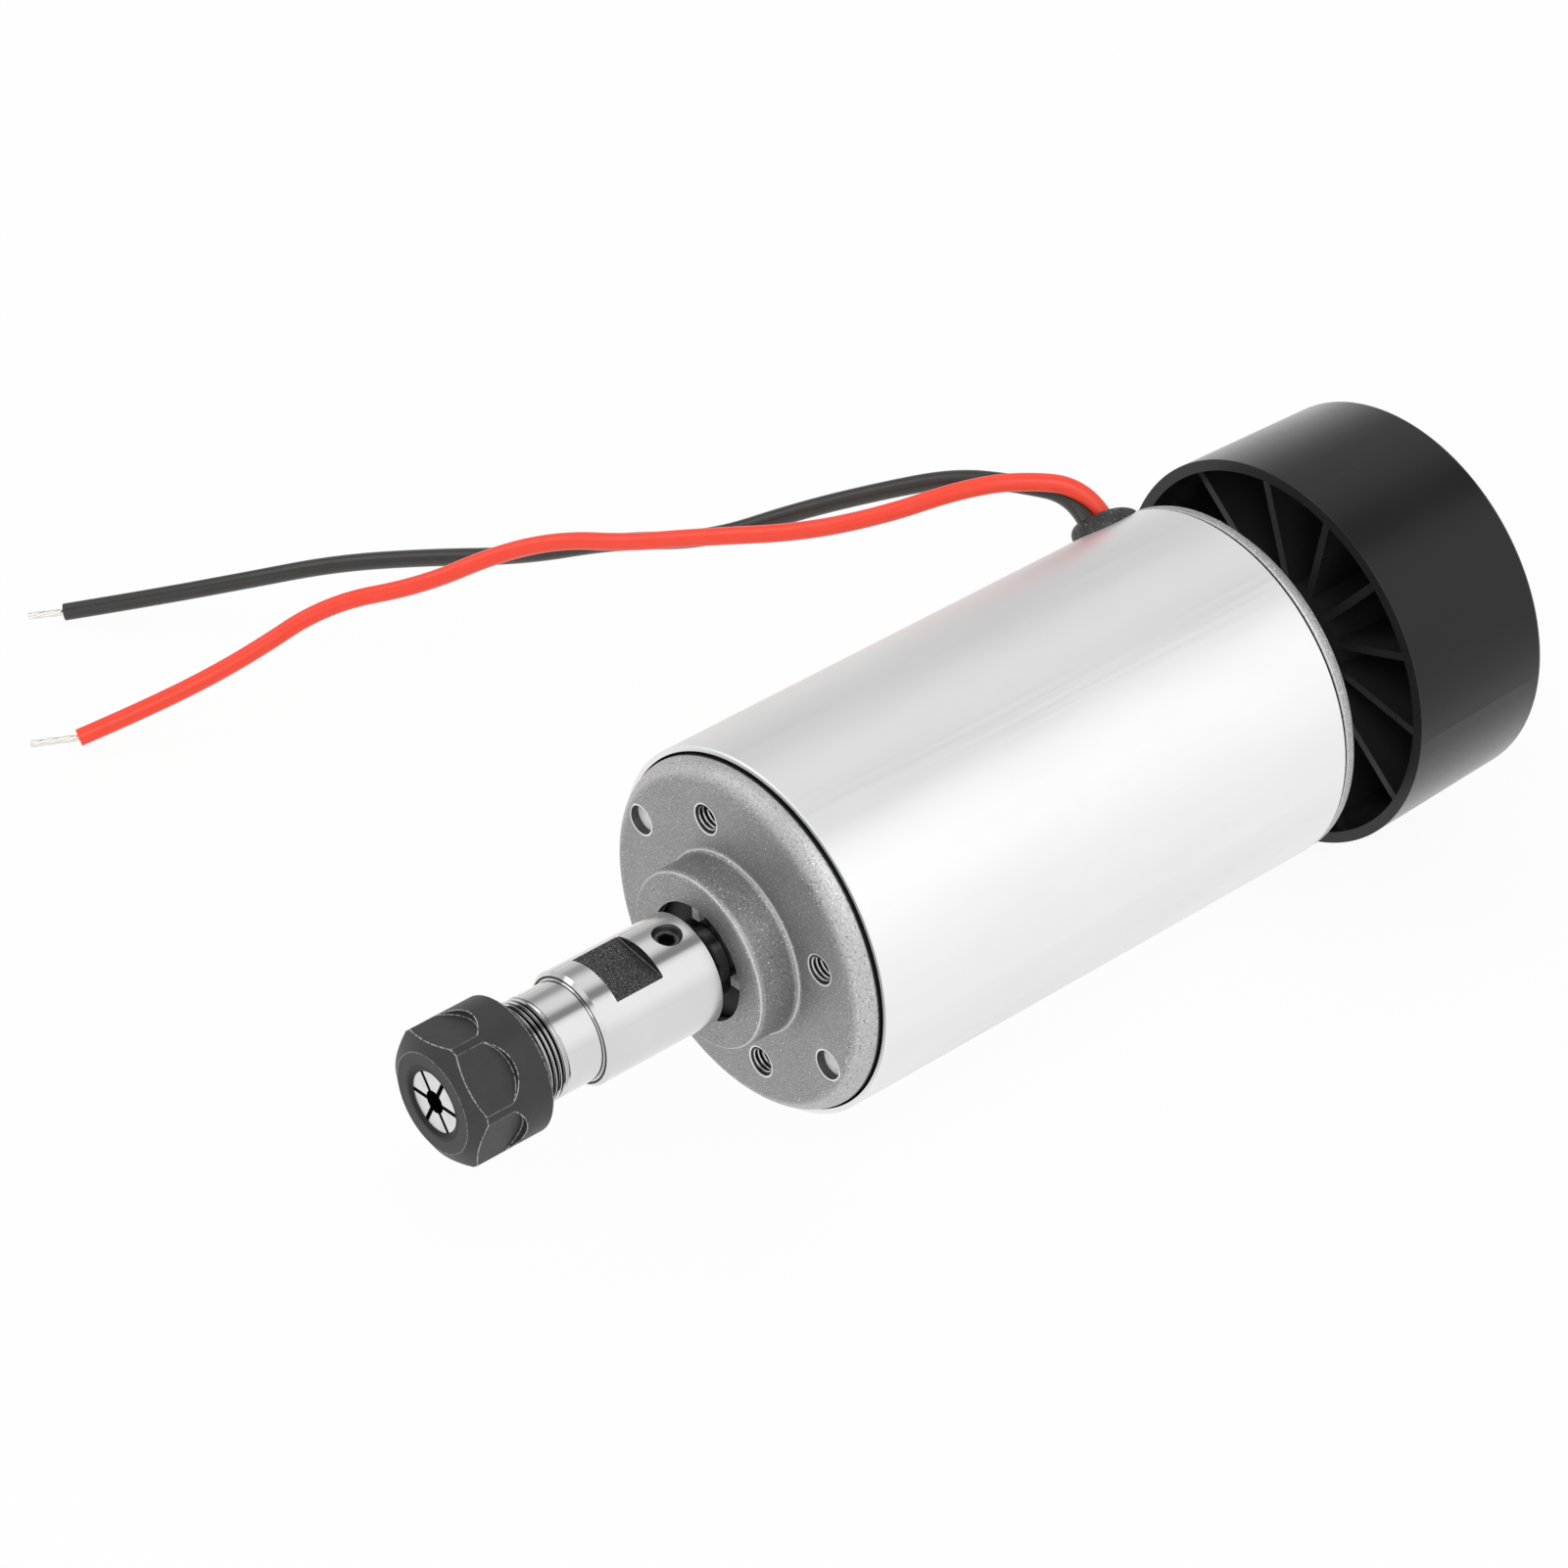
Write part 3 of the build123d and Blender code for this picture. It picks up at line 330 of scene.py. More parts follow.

# Front end cap
# A die casting, blasted with fine beads, with a boss for the front bearing and four tapped holes that the
# motor is mounted by. It is pushed into the tube, and its bare edges are rubbed bright. Its skin has painted
# glints, a painted highlight on its sloped rim and painted light on the lip of its bore; its holes and joint
# gaps are painted dark as shade.
class Recipe:
    """A Geometry Nodes tree being made, with named sizes that each piece sets."""

    def __init__(self, name, **sizes):
        self.tree = bpy.data.node_groups.new(name, "GeometryNodeTree")
        self.tree.is_modifier = True
        kinds = {int: "NodeSocketInt", float: "NodeSocketFloat"}
        for label, start in sizes.items():
            socket = self.tree.interface.new_socket(label, in_out="INPUT", socket_type=kinds[type(start)])
            socket.default_value = start
        self.tree.interface.new_socket("finish", in_out="INPUT", socket_type="NodeSocketMaterial")
        self.tree.interface.new_socket("Geometry", in_out="OUTPUT", socket_type="NodeSocketGeometry")
        self.size = self.tree.nodes.new("NodeGroupInput").outputs

    def step(self, kind, inputs=(), **settings):
        """One node, with its settings, and its inputs as numbers or links."""
        node = self.tree.nodes.new(kind)
        for name, value in settings.items():
            setattr(node, name, value)
        for name, value in dict(inputs).items():
            if isinstance(value, bpy.types.NodeSocket):
                self.tree.links.new(value, node.inputs[name])
            else:
                node.inputs[name].default_value = value
        return node

    def work(self, operation, first, second=0.0):
        return self.step("ShaderNodeMath", {0: first, 1: second}, operation=operation).outputs[0]

    def point(self, x, y, z):
        return self.step("ShaderNodeCombineXYZ", {0: x, 1: y, 2: z}).outputs[0]

    def end(self, geometry):
        """Whole geometry, with its finish, out of the tree."""
        whole = self.step("GeometryNodeRealizeInstances", {"Geometry": geometry}).outputs[0]
        coated = self.step("GeometryNodeSetMaterial", {"Geometry": whole, "Material": self.size["finish"]})
        self.tree.links.new(coated.outputs[0], self.tree.nodes.new("NodeGroupOutput").inputs[0])

    def make(self, name, place, finish, **sizes):
        """A plain mesh piece to this recipe, set in its place."""
        piece = bpy.data.objects.new(name, bpy.data.meshes.new(name))
        bpy.context.scene.collection.objects.link(piece)
        modifier = piece.modifiers.new("recipe", "NODES")
        modifier.node_group = self.tree
        for socket in self.tree.interface.items_tree:
            if socket.in_out == "INPUT":
                if socket.name == "finish":
                    modifier[socket.identifier] = finish.material
                elif socket.name in sizes:
                    modifier[socket.identifier] = sizes[socket.name]
        made = piece.evaluated_get(bpy.context.evaluated_depsgraph_get())
        mesh = bpy.data.meshes.new_from_object(made)
        piece.modifiers.clear()
        shape = bmesh.new()
        shape.from_mesh(mesh)
        bmesh.ops.recalc_face_normals(shape, faces=shape.faces)
        shape.to_mesh(mesh)
        shape.free()
        mesh.transform(place)
        mesh.shade_smooth()
        mesh.set_sharp_from_angle(angle=radians(40))
        piece.data = mesh
        return piece


def worn_edges(finish, reach, low=0.96, high=0.80):
    """Share of wear, from 0 on the open faces to 1 on the edges."""
    bevel = finish.nodes.new("ShaderNodeBevel")
    bevel.samples = 6
    bevel.inputs["Radius"].default_value = reach
    compare = finish.nodes.new("ShaderNodeVectorMath")
    compare.operation = "DOT_PRODUCT"
    finish.links.new(bevel.outputs[0], compare.inputs[0])
    finish.links.new(finish.nodes.new("ShaderNodeNewGeometry").outputs["True Normal"], compare.inputs[1])
    return finish.between(compare.outputs["Value"], low, high)


def from_holes(finish, circle, turn, count):
    """Distance from the nearest of two or four holes on a circle, in metres."""
    along, beside = [finish.work("ABSOLUTE", distance) for distance in finish.turned(turn)]
    if count == 4:
        along, beside = finish.work("MAXIMUM", along, beside), finish.work("MINIMUM", along, beside)
    return finish.length(finish.work("SUBTRACT", along, circle), beside)


tapped_circle, tapped_turn = 17.5 * mm, radians(17.7)
bolt_circle, bolt_turn = 20.5 * mm, radians(153.4)


def blasted(name, dark, light, edge):
    """Cast metal blasted with fine beads: a speckled skin with painted glints, a painted highlight on the
    sloped rim, edges worn bright, painted light on the bore's lip, and holes and joint gaps painted dark as
    shade.
    """
    finish = Finish(name, metallic=1.0)
    across, station = finish.across(), finish.axis("Y")
    front = finish.between(station, 9 * mm, 8 * mm)
    grain = finish.clouds(0.17 * mm, 3.0)
    # Painted glints: bright specks stand in for the blasted skin catching the light.
    painted_glints = finish.between(finish.clouds(0.24 * mm, 2.0), 0.60, 0.72)
    pits = finish.between(finish.clouds(0.3 * mm, 2.0), 0.46, 0.30)
    body = finish.blend(finish.clouds(5 * mm, 4.0), shade(dark), shade(light))
    # Painted highlight: the sloped outer rim of the front face is painted lighter, as the bright room it
    # reflects.
    rim_painted_highlight = finish.work("MULTIPLY", finish.between(across, 20.0 * mm, 22.0 * mm), finish.work(
        "MINIMUM", finish.between(station, 0.1 * mm, 0.5 * mm), front))
    body = finish.blend(rim_painted_highlight, body, shade(min(light + 28, 246)))
    body = finish.blend(finish.work("MULTIPLY", pits, 0.6), body, shade(dark * 0.68))
    rubbed_and_painted_light = finish.work("MULTIPLY", worn_edges(finish, 0.12 * mm, 0.97, 0.90),
                         finish.between(grain, 0.3, 0.5, 0.6, 1.0))
    boss_brow = finish.away(finish.work("ADD", across, station), 6.38 * mm)
    boss_brow = finish.work("MULTIPLY", finish.between(boss_brow, 0.32 * mm, 0.10 * mm),
                            finish.between(across, 11.7 * mm, 11.9 * mm))
    boss_root = finish.work("MULTIPLY", finish.between(finish.away(across, 13.0 * mm), 0.13 * mm, 0.06 * mm),
                            finish.between(station, -0.5 * mm, -0.4 * mm))
    lines = finish.work("MULTIPLY", finish.work("MAXIMUM", boss_brow, boss_root),
                        finish.between(grain, 0.3, 0.55, 0.2, 0.6))
    # Painted light: inside 8.36 mm across, the lip of the bore is painted bright, standing in for light on it
    # where it lies in shade; the rest is worn edges.
    rubbed_and_painted_light = finish.work("MAXIMUM", finish.work("MAXIMUM", rubbed_and_painted_light, lines),
                         finish.between(across, 8.42 * mm, 8.36 * mm))
    body = finish.blend(finish.work("MAXIMUM", painted_glints, rubbed_and_painted_light), body, shade(edge))
    in_hole = finish.work("MINIMUM", from_holes(finish, tapped_circle, tapped_turn, 4),
                          from_holes(finish, bolt_circle, bolt_turn, 2))
    mouth = finish.work("MULTIPLY", finish.between(in_hole, 2.34 * mm, 2.26 * mm),
                        finish.between(station, 0.2 * mm, 0.1 * mm))
    body = finish.blend(mouth, body, shade(edge))
    # Painted shade: the cap's outer edge where it meets the tube, and the gap between the tube's end and the
    # rear flange, are painted near black.
    front_gap_shade = finish.work("MULTIPLY", finish.between(across, 24.90 * mm, 24.95 * mm), front)
    rear_gap_shade = finish.work("MULTIPLY", finish.between(finish.away(across, 25.3 * mm), 0.45 * mm, 0.38 * mm),
                             finish.between(finish.away(station, 85.95 * mm), 0.26 * mm, 0.2 * mm))
    body = finish.blend(finish.work("MAXIMUM", front_gap_shade, rear_gap_shade), body, shade(36))
    # Painted shade: the walls of the tapped and bolt holes are painted dark.
    finish.colour(finish.blend(finish.between(in_hole, 2.10 * mm, 2.05 * mm), body, shade(104)))
    finish.roughness(finish.between(grain, 0.3, 0.7, 0.42, 0.6))
    finish.relief(grain, 0.03 * mm)
    return finish


cast_metal = blasted("cast_metal", 148, 168, 240)
coat(cast_metal, "front_end_cap")

thread = Recipe("screw_thread", root=1.0, height=0.1, pitch=0.1, length=1.0, count=1, circle=0.0, angle=0.0)
thread_turns = thread.work("DIVIDE", thread.size["length"], thread.size["pitch"])
thread_line = thread.step("GeometryNodeCurveSpiral", {
    "Resolution": 48, "Rotations": thread_turns, "Start Radius": thread.size["root"],
    "End Radius": thread.size["root"], "Height": thread.size["length"]}).outputs[0]
thread_along = thread.step("GeometryNodeSplineParameter").outputs["Factor"]
thread_ends = thread.work("MULTIPLY", thread.work("MINIMUM", thread_along, thread.work(
    "SUBTRACT", 1.0, thread_along)), thread.work("MULTIPLY", thread_turns, 4.0))
thread_swell = thread.work("MINIMUM", thread.work("MAXIMUM", thread_ends, 0.05), 1.0)
thread_line = thread.step("GeometryNodeSetCurveRadius", {
    "Curve": thread_line, "Radius": thread_swell}).outputs[0]
thread_line = thread.step("GeometryNodeSetCurveNormal", {"Curve": thread_line}, mode="Z_UP").outputs[0]
thread_top = thread.work("MULTIPLY", thread.size["height"], -1.0)
thread_foot = thread.work("MULTIPLY", thread.size["height"], 0.06)
thread_half = thread.work("MULTIPLY", thread.size["pitch"], 0.5)
thread_crest = thread.work("MULTIPLY", thread.size["pitch"], 0.07)
thread_profile = thread.step("GeometryNodeCurvePrimitiveQuadrilateral", {
    "Point 1": thread.point(thread_foot, thread.work("MULTIPLY", thread_half, -1.0), 0.0),
    "Point 2": thread.point(thread_top, thread.work("MULTIPLY", thread_crest, -1.0), 0.0),
    "Point 3": thread.point(thread_top, thread_crest, 0.0),
    "Point 4": thread.point(thread_foot, thread_half, 0.0)}, mode="POINTS").outputs[0]
thread_mesh = thread.step("GeometryNodeCurveToMesh", {
    "Curve": thread_line, "Profile Curve": thread_profile, "Fill Caps": True}).outputs[0]
thread_turn = thread.work("ADD", thread.size["angle"], thread.work("MULTIPLY", thread.work(
    "DIVIDE", tau, thread.size["count"]), thread.step("GeometryNodeInputIndex").outputs[0]))
thread_places = thread.step("GeometryNodePoints", {
    "Count": thread.size["count"], "Position": thread.point(
        thread.work("MULTIPLY", thread.size["circle"], thread.work("COSINE", thread_turn)),
        thread.work("MULTIPLY", thread.size["circle"], thread.work("SINE", thread_turn)), 0.0)}).outputs[0]
thread.end(thread.step("GeometryNodeInstanceOnPoints", {
    "Points": thread_places, "Instance": thread_mesh}).outputs[0])

along_axis = Matrix(((1, 0, 0, 0), (0, 0, -1, 0), (0, 1, 0, 0), (0, 0, 0, 1)))
cut_metal = Finish("cut_metal", metallic=1.0)
cutting_marks = cut_metal.clouds(0.1 * mm, 2.0)
# Painted shade: the roots of the tapped threads are painted dark, and the crests keep the bright cut metal.
thread_crests_and_painted_root_shade = cut_metal.between(from_holes(cut_metal, tapped_circle, tapped_turn, 4), 1.84 * mm, 1.70 * mm)
cut_bright = cut_metal.blend(cutting_marks, shade(206), shade(240))
cut_metal.colour(cut_metal.blend(thread_crests_and_painted_root_shade, shade(48), cut_bright))
cut_metal.roughness(cut_metal.between(cutting_marks, 0.3, 0.7, 0.2, 0.34))
cut_metal.relief(cutting_marks, 0.002 * mm)
tapped_threads = thread.make(
    "tapped_threads", Matrix.Translation((0, 5.0 * mm, 0)) @ along_axis, cut_metal,
    root=2.0 * mm, height=-0.34 * mm, pitch=0.7 * mm, length=4.75 * mm, count=4, circle=tapped_circle,
    angle=tapped_turn)
carried(tapped_threads, "housing", "cast_metal")

# Rear end cap and preload washer
# The second casting, with the rear bearing's seat, recesses for the bolt heads and a skirt for the brush
# plate. Its narrow flange closes the rear edge of the tube, and a spring washer behind the bearing takes up
# its play.
rear_cast_metal = blasted("rear_cast_metal", 170, 190, 246)
coat(rear_cast_metal, "rear_end_cap")


def turned_ring(name, finish, outline, steps=256):
    """A ring about the shaft's own line, from its outline as radius and station."""
    shape = bmesh.new()
    loops = [[shape.verts.new((radius * cos(tau * turn / steps), station, radius * sin(tau * turn / steps)))
              for radius, station in outline] for turn in range(steps)]
    for turn, loop in enumerate(loops):
        following = loops[(turn + 1) % steps]
        for corner in range(len(outline)):
            near = (corner + 1) % len(outline)
            shape.faces.new((loop[corner], loop[near], following[near], following[corner]))
    bmesh.ops.recalc_face_normals(shape, faces=shape.faces)
    mesh = bpy.data.meshes.new(name)
    shape.to_mesh(mesh)
    shape.free()
    mesh.shade_smooth()
    mesh.set_sharp_from_angle(angle=radians(50))
    mesh.materials.append(finish.material)
    ring = bpy.data.objects.new(name, mesh)
    bpy.context.scene.collection.objects.link(ring)
    return ring


rear_flange = turned_ring("rear_cap_flange", rear_cast_metal, (
    (24.99 * mm, 86.14 * mm), (25.7 * mm, 86.14 * mm), (25.84 * mm, 86.28 * mm), (25.86 * mm, 87.3 * mm),
    (25.76 * mm, 87.55 * mm), (25.5 * mm, 87.68 * mm), (24.99 * mm, 87.72 * mm)))
carried(rear_flange, "housing", "cast_metal")
coat(pressed_steel, "preload_washer")

# Brush gear
# A phenolic plate on the rear cap's skirt carries two brass boxes. In each a carbon brush is pushed on the
# commutator by a steel coil spring, which closes up as the brush is pushed back.
coat(phenolic, "brush_plate")
brass = Finish("brass_sheet", metallic=1.0)
brass_grain = brass.clouds(0.4 * mm, 3.0, (1, 8, 1))
brass.colour(brass.blend(brass_grain, shade(176, 140, 74), shade(208, 172, 100)))
brass.roughness(brass.between(brass_grain, 0.3, 0.7, 0.24, 0.4))
brass.relief(brass_grain, 0.003 * mm)
coat(brass, "brush_holders")
carbon = Finish("carbon")
carbon_grain = carbon.clouds(0.2 * mm, 5.0)
carbon.colour(carbon.blend(carbon_grain, shade(26), shade(58, 52, 48)))
carbon.roughness(carbon.between(carbon_grain, 0.3, 0.7, 0.4, 0.6))
carbon.relief(carbon_grain, 0.015 * mm)
coat(carbon, "brush_right", "brush_left")
for side, outward in (("right", 1), ("left", -1)):
    spring = remade(f"brush_spring_coil_{side}", f"brush_spring_{side}")
    spring.data.materials.append(pressed_steel.material)
    carried(spring, "housing", "spring_steel", f"brush_spring_{side}")
    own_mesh(spring)

# Through bolts
# Two long plated socket screws from the rear cap to threads in the front cap, which pull both caps on the
# tube. Their cut ends show in the front face.
plated_screw = Finish("plated_screw")
plating = plated_screw.clouds(0.3 * mm, 3.0)
plated_screw.colour(plated_screw.blend(plating, shade(250), shade(255)))
bolt_ends = plated_screw.between(plated_screw.axis("Y"), 4.0 * mm, 3.0 * mm)
plated_screw.wire(plated_screw.between(bolt_ends, 0.0, 1.0, 0.7, 0.0), plated_screw.shader.inputs["Metallic"])
plated_screw.roughness(plated_screw.between(bolt_ends, 0.0, 1.0, 0.32, 0.9))
plated_screw.relief(plating, 0.006 * mm)
coat(plated_screw, "through_bolts")

# Collet holder
# Turned and ground from one steel bar: a collar with two milled wrench flats, a neck, and a nose with an
# M14 x 0.75 thread and the tapered seat. The flats are left as milled, dark from the hardening.
flats_at = -20.0 * mm
holder_steel = Finish("holder_steel", metallic=1.0)
holder_across, holder_station = holder_steel.across(), holder_steel.axis("Y")
from_flats = holder_steel.away(holder_station, flats_at)
holder_flats = holder_steel.work("MULTIPLY", holder_steel.between(holder_across, 7.93 * mm, 7.90 * mm),
                                 holder_steel.between(from_flats, 3.82 * mm, 3.80 * mm))
grinding_marks = holder_steel.clouds(0.12 * mm, 2.0, (90, 1, 90))
milled_grain = holder_steel.between(holder_steel.clouds(0.22 * mm, 3.0), 0.35, 0.75)
holder_ground = holder_steel.blend(holder_steel.clouds(8 * mm), shade(210), shade(220))
milled_specks = holder_steel.between(holder_steel.clouds(0.15 * mm, 2.0), 0.58, 0.72)
holder_milled = holder_steel.blend(milled_grain, shade(52), shade(100))
holder_milled = holder_steel.blend(milled_specks, holder_milled, shade(190))
# Painted shade: the roots of the nose thread, and a thin ring at the foot of the collar's shoulder, are
# painted dark.
thread_zone = holder_steel.between(holder_station, -33.3 * mm, -33.4 * mm)
thread_roots_painted_shade = holder_steel.work("MULTIPLY", thread_zone, holder_steel.between(
    holder_across, 6.90 * mm, 6.74 * mm))
shoulder_face = holder_steel.between(holder_station, -27.2 * mm, -27.3 * mm)
shoulder_painted_shade = holder_steel.work("MULTIPLY", shoulder_face, holder_steel.between(
    holder_steel.away(holder_across, 7.34 * mm), 0.2 * mm, 0.12 * mm))
flat_edges = holder_steel.work("MULTIPLY", worn_edges(holder_steel, 0.17 * mm, 0.985, 0.94),
                               holder_steel.between(from_flats, 4.3 * mm, 4.2 * mm))
holder_skin = holder_steel.blend(holder_flats, holder_ground, holder_milled)
holder_skin = holder_steel.blend(flat_edges, holder_skin, shade(245))
holder_painted_shade = holder_steel.work("MAXIMUM", thread_roots_painted_shade, shoulder_painted_shade)
holder_steel.colour(holder_steel.blend(holder_painted_shade, holder_skin, shade(38)))
holder_steel.roughness(holder_steel.between(holder_flats, 0.0, 1.0, 0.14, 0.5))
holder_steel.relief(holder_steel.work("MULTIPLY", milled_grain, holder_flats), 0.03 * mm)
holder_steel.relief(grinding_marks, 0.0006 * mm)
coat(holder_steel, "collet_holder")

nose_thread = thread.make(
    "nose_thread", Matrix.Translation((0, -44.0 * mm, 0)) @ along_axis.inverted(), holder_steel,
    root=6.54 * mm, height=0.46 * mm, pitch=0.75 * mm, length=11.4 * mm)
carried(nose_thread, "rotor", "polished_steel")

# Set screws
# Two hexagon socket set screws, opposite each other and blackened, that lock the collar on the shaft.
# Their mouths are countersunk and bright.
screws_turn, screws_at = radians(83.0), -11.9 * mm
black_screw = Finish("black_screw", metallic=0.6)
oxide = black_screw.clouds(0.3 * mm, 4.0)
screw_beside = black_screw.turned(screws_turn)[1]
screw_along = black_screw.work("SUBTRACT", black_screw.axis("Y"), screws_at)
from_screw = black_screw.length(screw_beside, screw_along)
screw_rim = black_screw.between(black_screw.away(from_screw, 1.42 * mm), 0.22 * mm, 0.12 * mm)
screw_black = black_screw.blend(oxide, shade(20), shade(40))
black_screw.colour(black_screw.blend(screw_rim, screw_black, shade(84)))
black_screw.roughness(black_screw.between(oxide, 0.3, 0.7, 0.3, 0.5))
black_screw.relief(oxide, 0.006 * mm)
coat(black_screw, "set_screws")

# Collet
# A hardened spring steel sleeve on an 8 degree taper, slotted from both ends into jaws that the nut closes
# on the tool. It is ground all over.
collet_steel = Finish("collet_steel", metallic=1.0)
collet_grain = collet_steel.clouds(0.16 * mm, 3.0)
collet_ground = collet_steel.blend(collet_steel.clouds(1.2 * mm), shade(208), shade(234))
collet_shadow = collet_steel.work(
    "MAXIMUM", collet_steel.between(collet_steel.across(), 1.66 * mm, 1.60 * mm),
    collet_steel.between(collet_steel.across(), 4.27 * mm, 4.33 * mm))
for slot_turn in (5.1, 65.1, 125.1):
    slot_side = collet_steel.work("ABSOLUTE", collet_steel.turned(radians(slot_turn))[1])
    collet_shadow = collet_steel.work("MAXIMUM", collet_shadow,
                                      collet_steel.between(slot_side, 0.36 * mm, 0.31 * mm))
collet_steel.colour(collet_steel.blend(collet_shadow, collet_ground, shade(30)))
collet_steel.roughness(collet_steel.between(collet_grain, 0.3, 0.7, 0.28, 0.45))
collet_steel.relief(collet_grain, 0.003 * mm)
coat(collet_steel, "collet")


# Clamping nut
# A blackened steel hexagon nut, milled with round-ended flats from a turned blank. Its inner cone pushes the
# collet home and its offset lip pulls it out. The black is worn through on the edges.
blackened_steel = Finish("blackened_steel")
black_clouds = blackened_steel.clouds(2.2 * mm, 4.0)
black_grain = blackened_steel.clouds(0.18 * mm, 3.0)
wear_chips = blackened_steel.between(blackened_steel.clouds(0.4 * mm, 5.0), 0.36, 0.52)
wear_zone = blackened_steel.between(blackened_steel.across(), 5.3 * mm, 5.5 * mm)
wear = blackened_steel.work("MULTIPLY", worn_edges(blackened_steel, 0.26 * mm, 0.99, 0.93),
                            blackened_steel.work("MULTIPLY", wear_chips, wear_zone))
# Painted shade: the nut's mouth, round the collet, is painted near black.
nut_mouth_painted_shade = blackened_steel.between(blackened_steel.across(), 5.3 * mm, 5.2 * mm)
black_body = blackened_steel.blend(black_clouds, shade(42), shade(56))
black_body = blackened_steel.blend(nut_mouth_painted_shade, black_body, shade(12))
blackened_steel.colour(blackened_steel.blend(wear, black_body, shade(206)))
blackened_steel.shader.inputs["Specular IOR Level"].default_value = 0.4
blackened_steel.roughness(blackened_steel.between(black_grain, 0.3, 0.7, 0.42, 0.58))
blackened_steel.relief(black_grain, 0.008 * mm)
nut = remade("nut", "clamping_nut")
plain_bore, clear_bore, bore_front = 6.59 * mm, 7.05 * mm, -43.5 * mm  # opened, to clear the thread ridges
for corner in nut.data.vertices:
    across = Vector((corner.co.x, 0, corner.co.z)).length
    if abs(across - plain_bore) < 0.03 * mm and corner.co.y > bore_front:
        corner.co.x *= clear_bore / across
        corner.co.z *= clear_bore / across
nut.data.materials.append(blackened_steel.material)
carried(nut, "nut_body", "blackened_steel", "clamping_nut")

# Fan wheel
# One black nylon moulding: a cup with twelve straight blades and a hub that is pressed on the shaft.
# The skin is semi-gloss, with faint flow marks and fine scuffs from handling. A painted sheen lightens it
# towards its outline, and the inside of the cup is painted lighter against its shade.
fan_plastic = Finish("fan_plastic")
flow_marks = fan_plastic.clouds(6 * mm, 3.0, (1, 2.5, 1))
skin_grain = fan_plastic.clouds(0.3 * mm, 3.0)
fan_skin = fan_plastic.blend(flow_marks, shade(12), shade(18))
# Painted reflection: where the skin turns away from the camera it is painted light grey, as the white room
# seen at a grazing angle.
fan_edge = fan_plastic.nodes.new("ShaderNodeLayerWeight")
fan_edge.inputs["Blend"].default_value = 0.5
fan_painted_edge_sheen = fan_plastic.work("POWER", fan_plastic.between(fan_edge.outputs["Facing"], 0.35, 1.0), 2.0)
fan_skin = fan_plastic.blend(fan_painted_edge_sheen, fan_skin, shade(150))
# Painted light: the lip, the blades and the inside of the cup are painted lighter than the outer skin, and
# lighter still deeper in, to make up for the shade inside the cup.
fan_depth_painted_light = fan_plastic.between(fan_plastic.axis("Y"), 99 * mm, 110 * mm)
fan_inside_painted_light = fan_plastic.blend(fan_depth_painted_light, shade(36), shade(66))
fan_barrel = fan_plastic.work("MULTIPLY", fan_plastic.between(fan_plastic.across(), 27.5 * mm, 27.6 * mm),
                              fan_plastic.between(fan_plastic.axis("Y"), 97.8 * mm, 97.9 * mm))
fan_outside = fan_plastic.work("MAXIMUM", fan_barrel, fan_plastic.between(
    fan_plastic.axis("Y"), 120.9 * mm, 121.0 * mm))
fan_plastic.colour(fan_plastic.blend(fan_outside, fan_inside_painted_light, fan_skin))
fan_plastic.shader.inputs["Specular IOR Level"].default_value = 0.3
fan_plastic.roughness(fan_plastic.between(flow_marks, 0.3, 0.7, 0.27, 0.33))
fan_plastic.relief(skin_grain, 0.004 * mm)
coat(fan_plastic, "fan_wheel")

# Lead grommet
# A moulded black rubber bush in the notch at the rear edge of the tube. Its neck holds the two leads, and
# its domed flange lies on the tube.
black_rubber = Finish("black_rubber")
rubber_grain = black_rubber.clouds(0.35 * mm, 4.0)
rubber_dust = black_rubber.between(black_rubber.clouds(1.5 * mm, 5.0), 0.4, 0.7)
rubber_specks = black_rubber.between(black_rubber.clouds(0.3 * mm, 1.0), 0.68, 0.76)
rubber_body = black_rubber.blend(rubber_dust, shade(36), shade(64))
black_rubber.colour(black_rubber.blend(rubber_specks, rubber_body, shade(150)))
black_rubber.roughness(black_rubber.between(rubber_grain, 0.3, 0.7, 0.42, 0.6))
black_rubber.relief(rubber_grain, 0.02 * mm)
grommet_turn = radians(134.0)
grommet_out = Vector((cos(grommet_turn), 0, sin(grommet_turn)))
grommet_aside = Vector((-sin(grommet_turn), 0, cos(grommet_turn)))
grommet_middle, half_length, half_width, dome_height, seat_radius = 82.35, 4.65, 4.2, 2.05, 26.01  # mm
dome_shape = bmesh.new()


def dome_loop(share, height=None, shrink=1.0, steps=72):
    """One closed loop of the grommet, at a share of its outline, lying on its dome or on the tube."""
    loop = []
    for step in range(steps):
        turn = tau * step / steps
        forward, side = cos(turn), sin(turn)
        forward = share * shrink * abs(forward) ** 0.8 * (1 if forward > 0 else -1)
        side = share * shrink * abs(side) ** 0.8 * (1 if side > 0 else -1)
        tail = max(0.0, forward + 0.4) / 1.4
        crown = dome_height * (1 - min(tail, 1.0) ** 1.8) ** 0.65 * max(0.0, 1 - share ** 6) ** 0.5
        lift = (seat_radius ** 2 - (half_width * side) ** 2) ** 0.5 + crown if height is None else height
        loop.append(dome_shape.verts.new((grommet_out * lift + grommet_aside * half_width * side
                                          + Vector((0, grommet_middle + half_length * forward, 0))) * mm))
    return loop


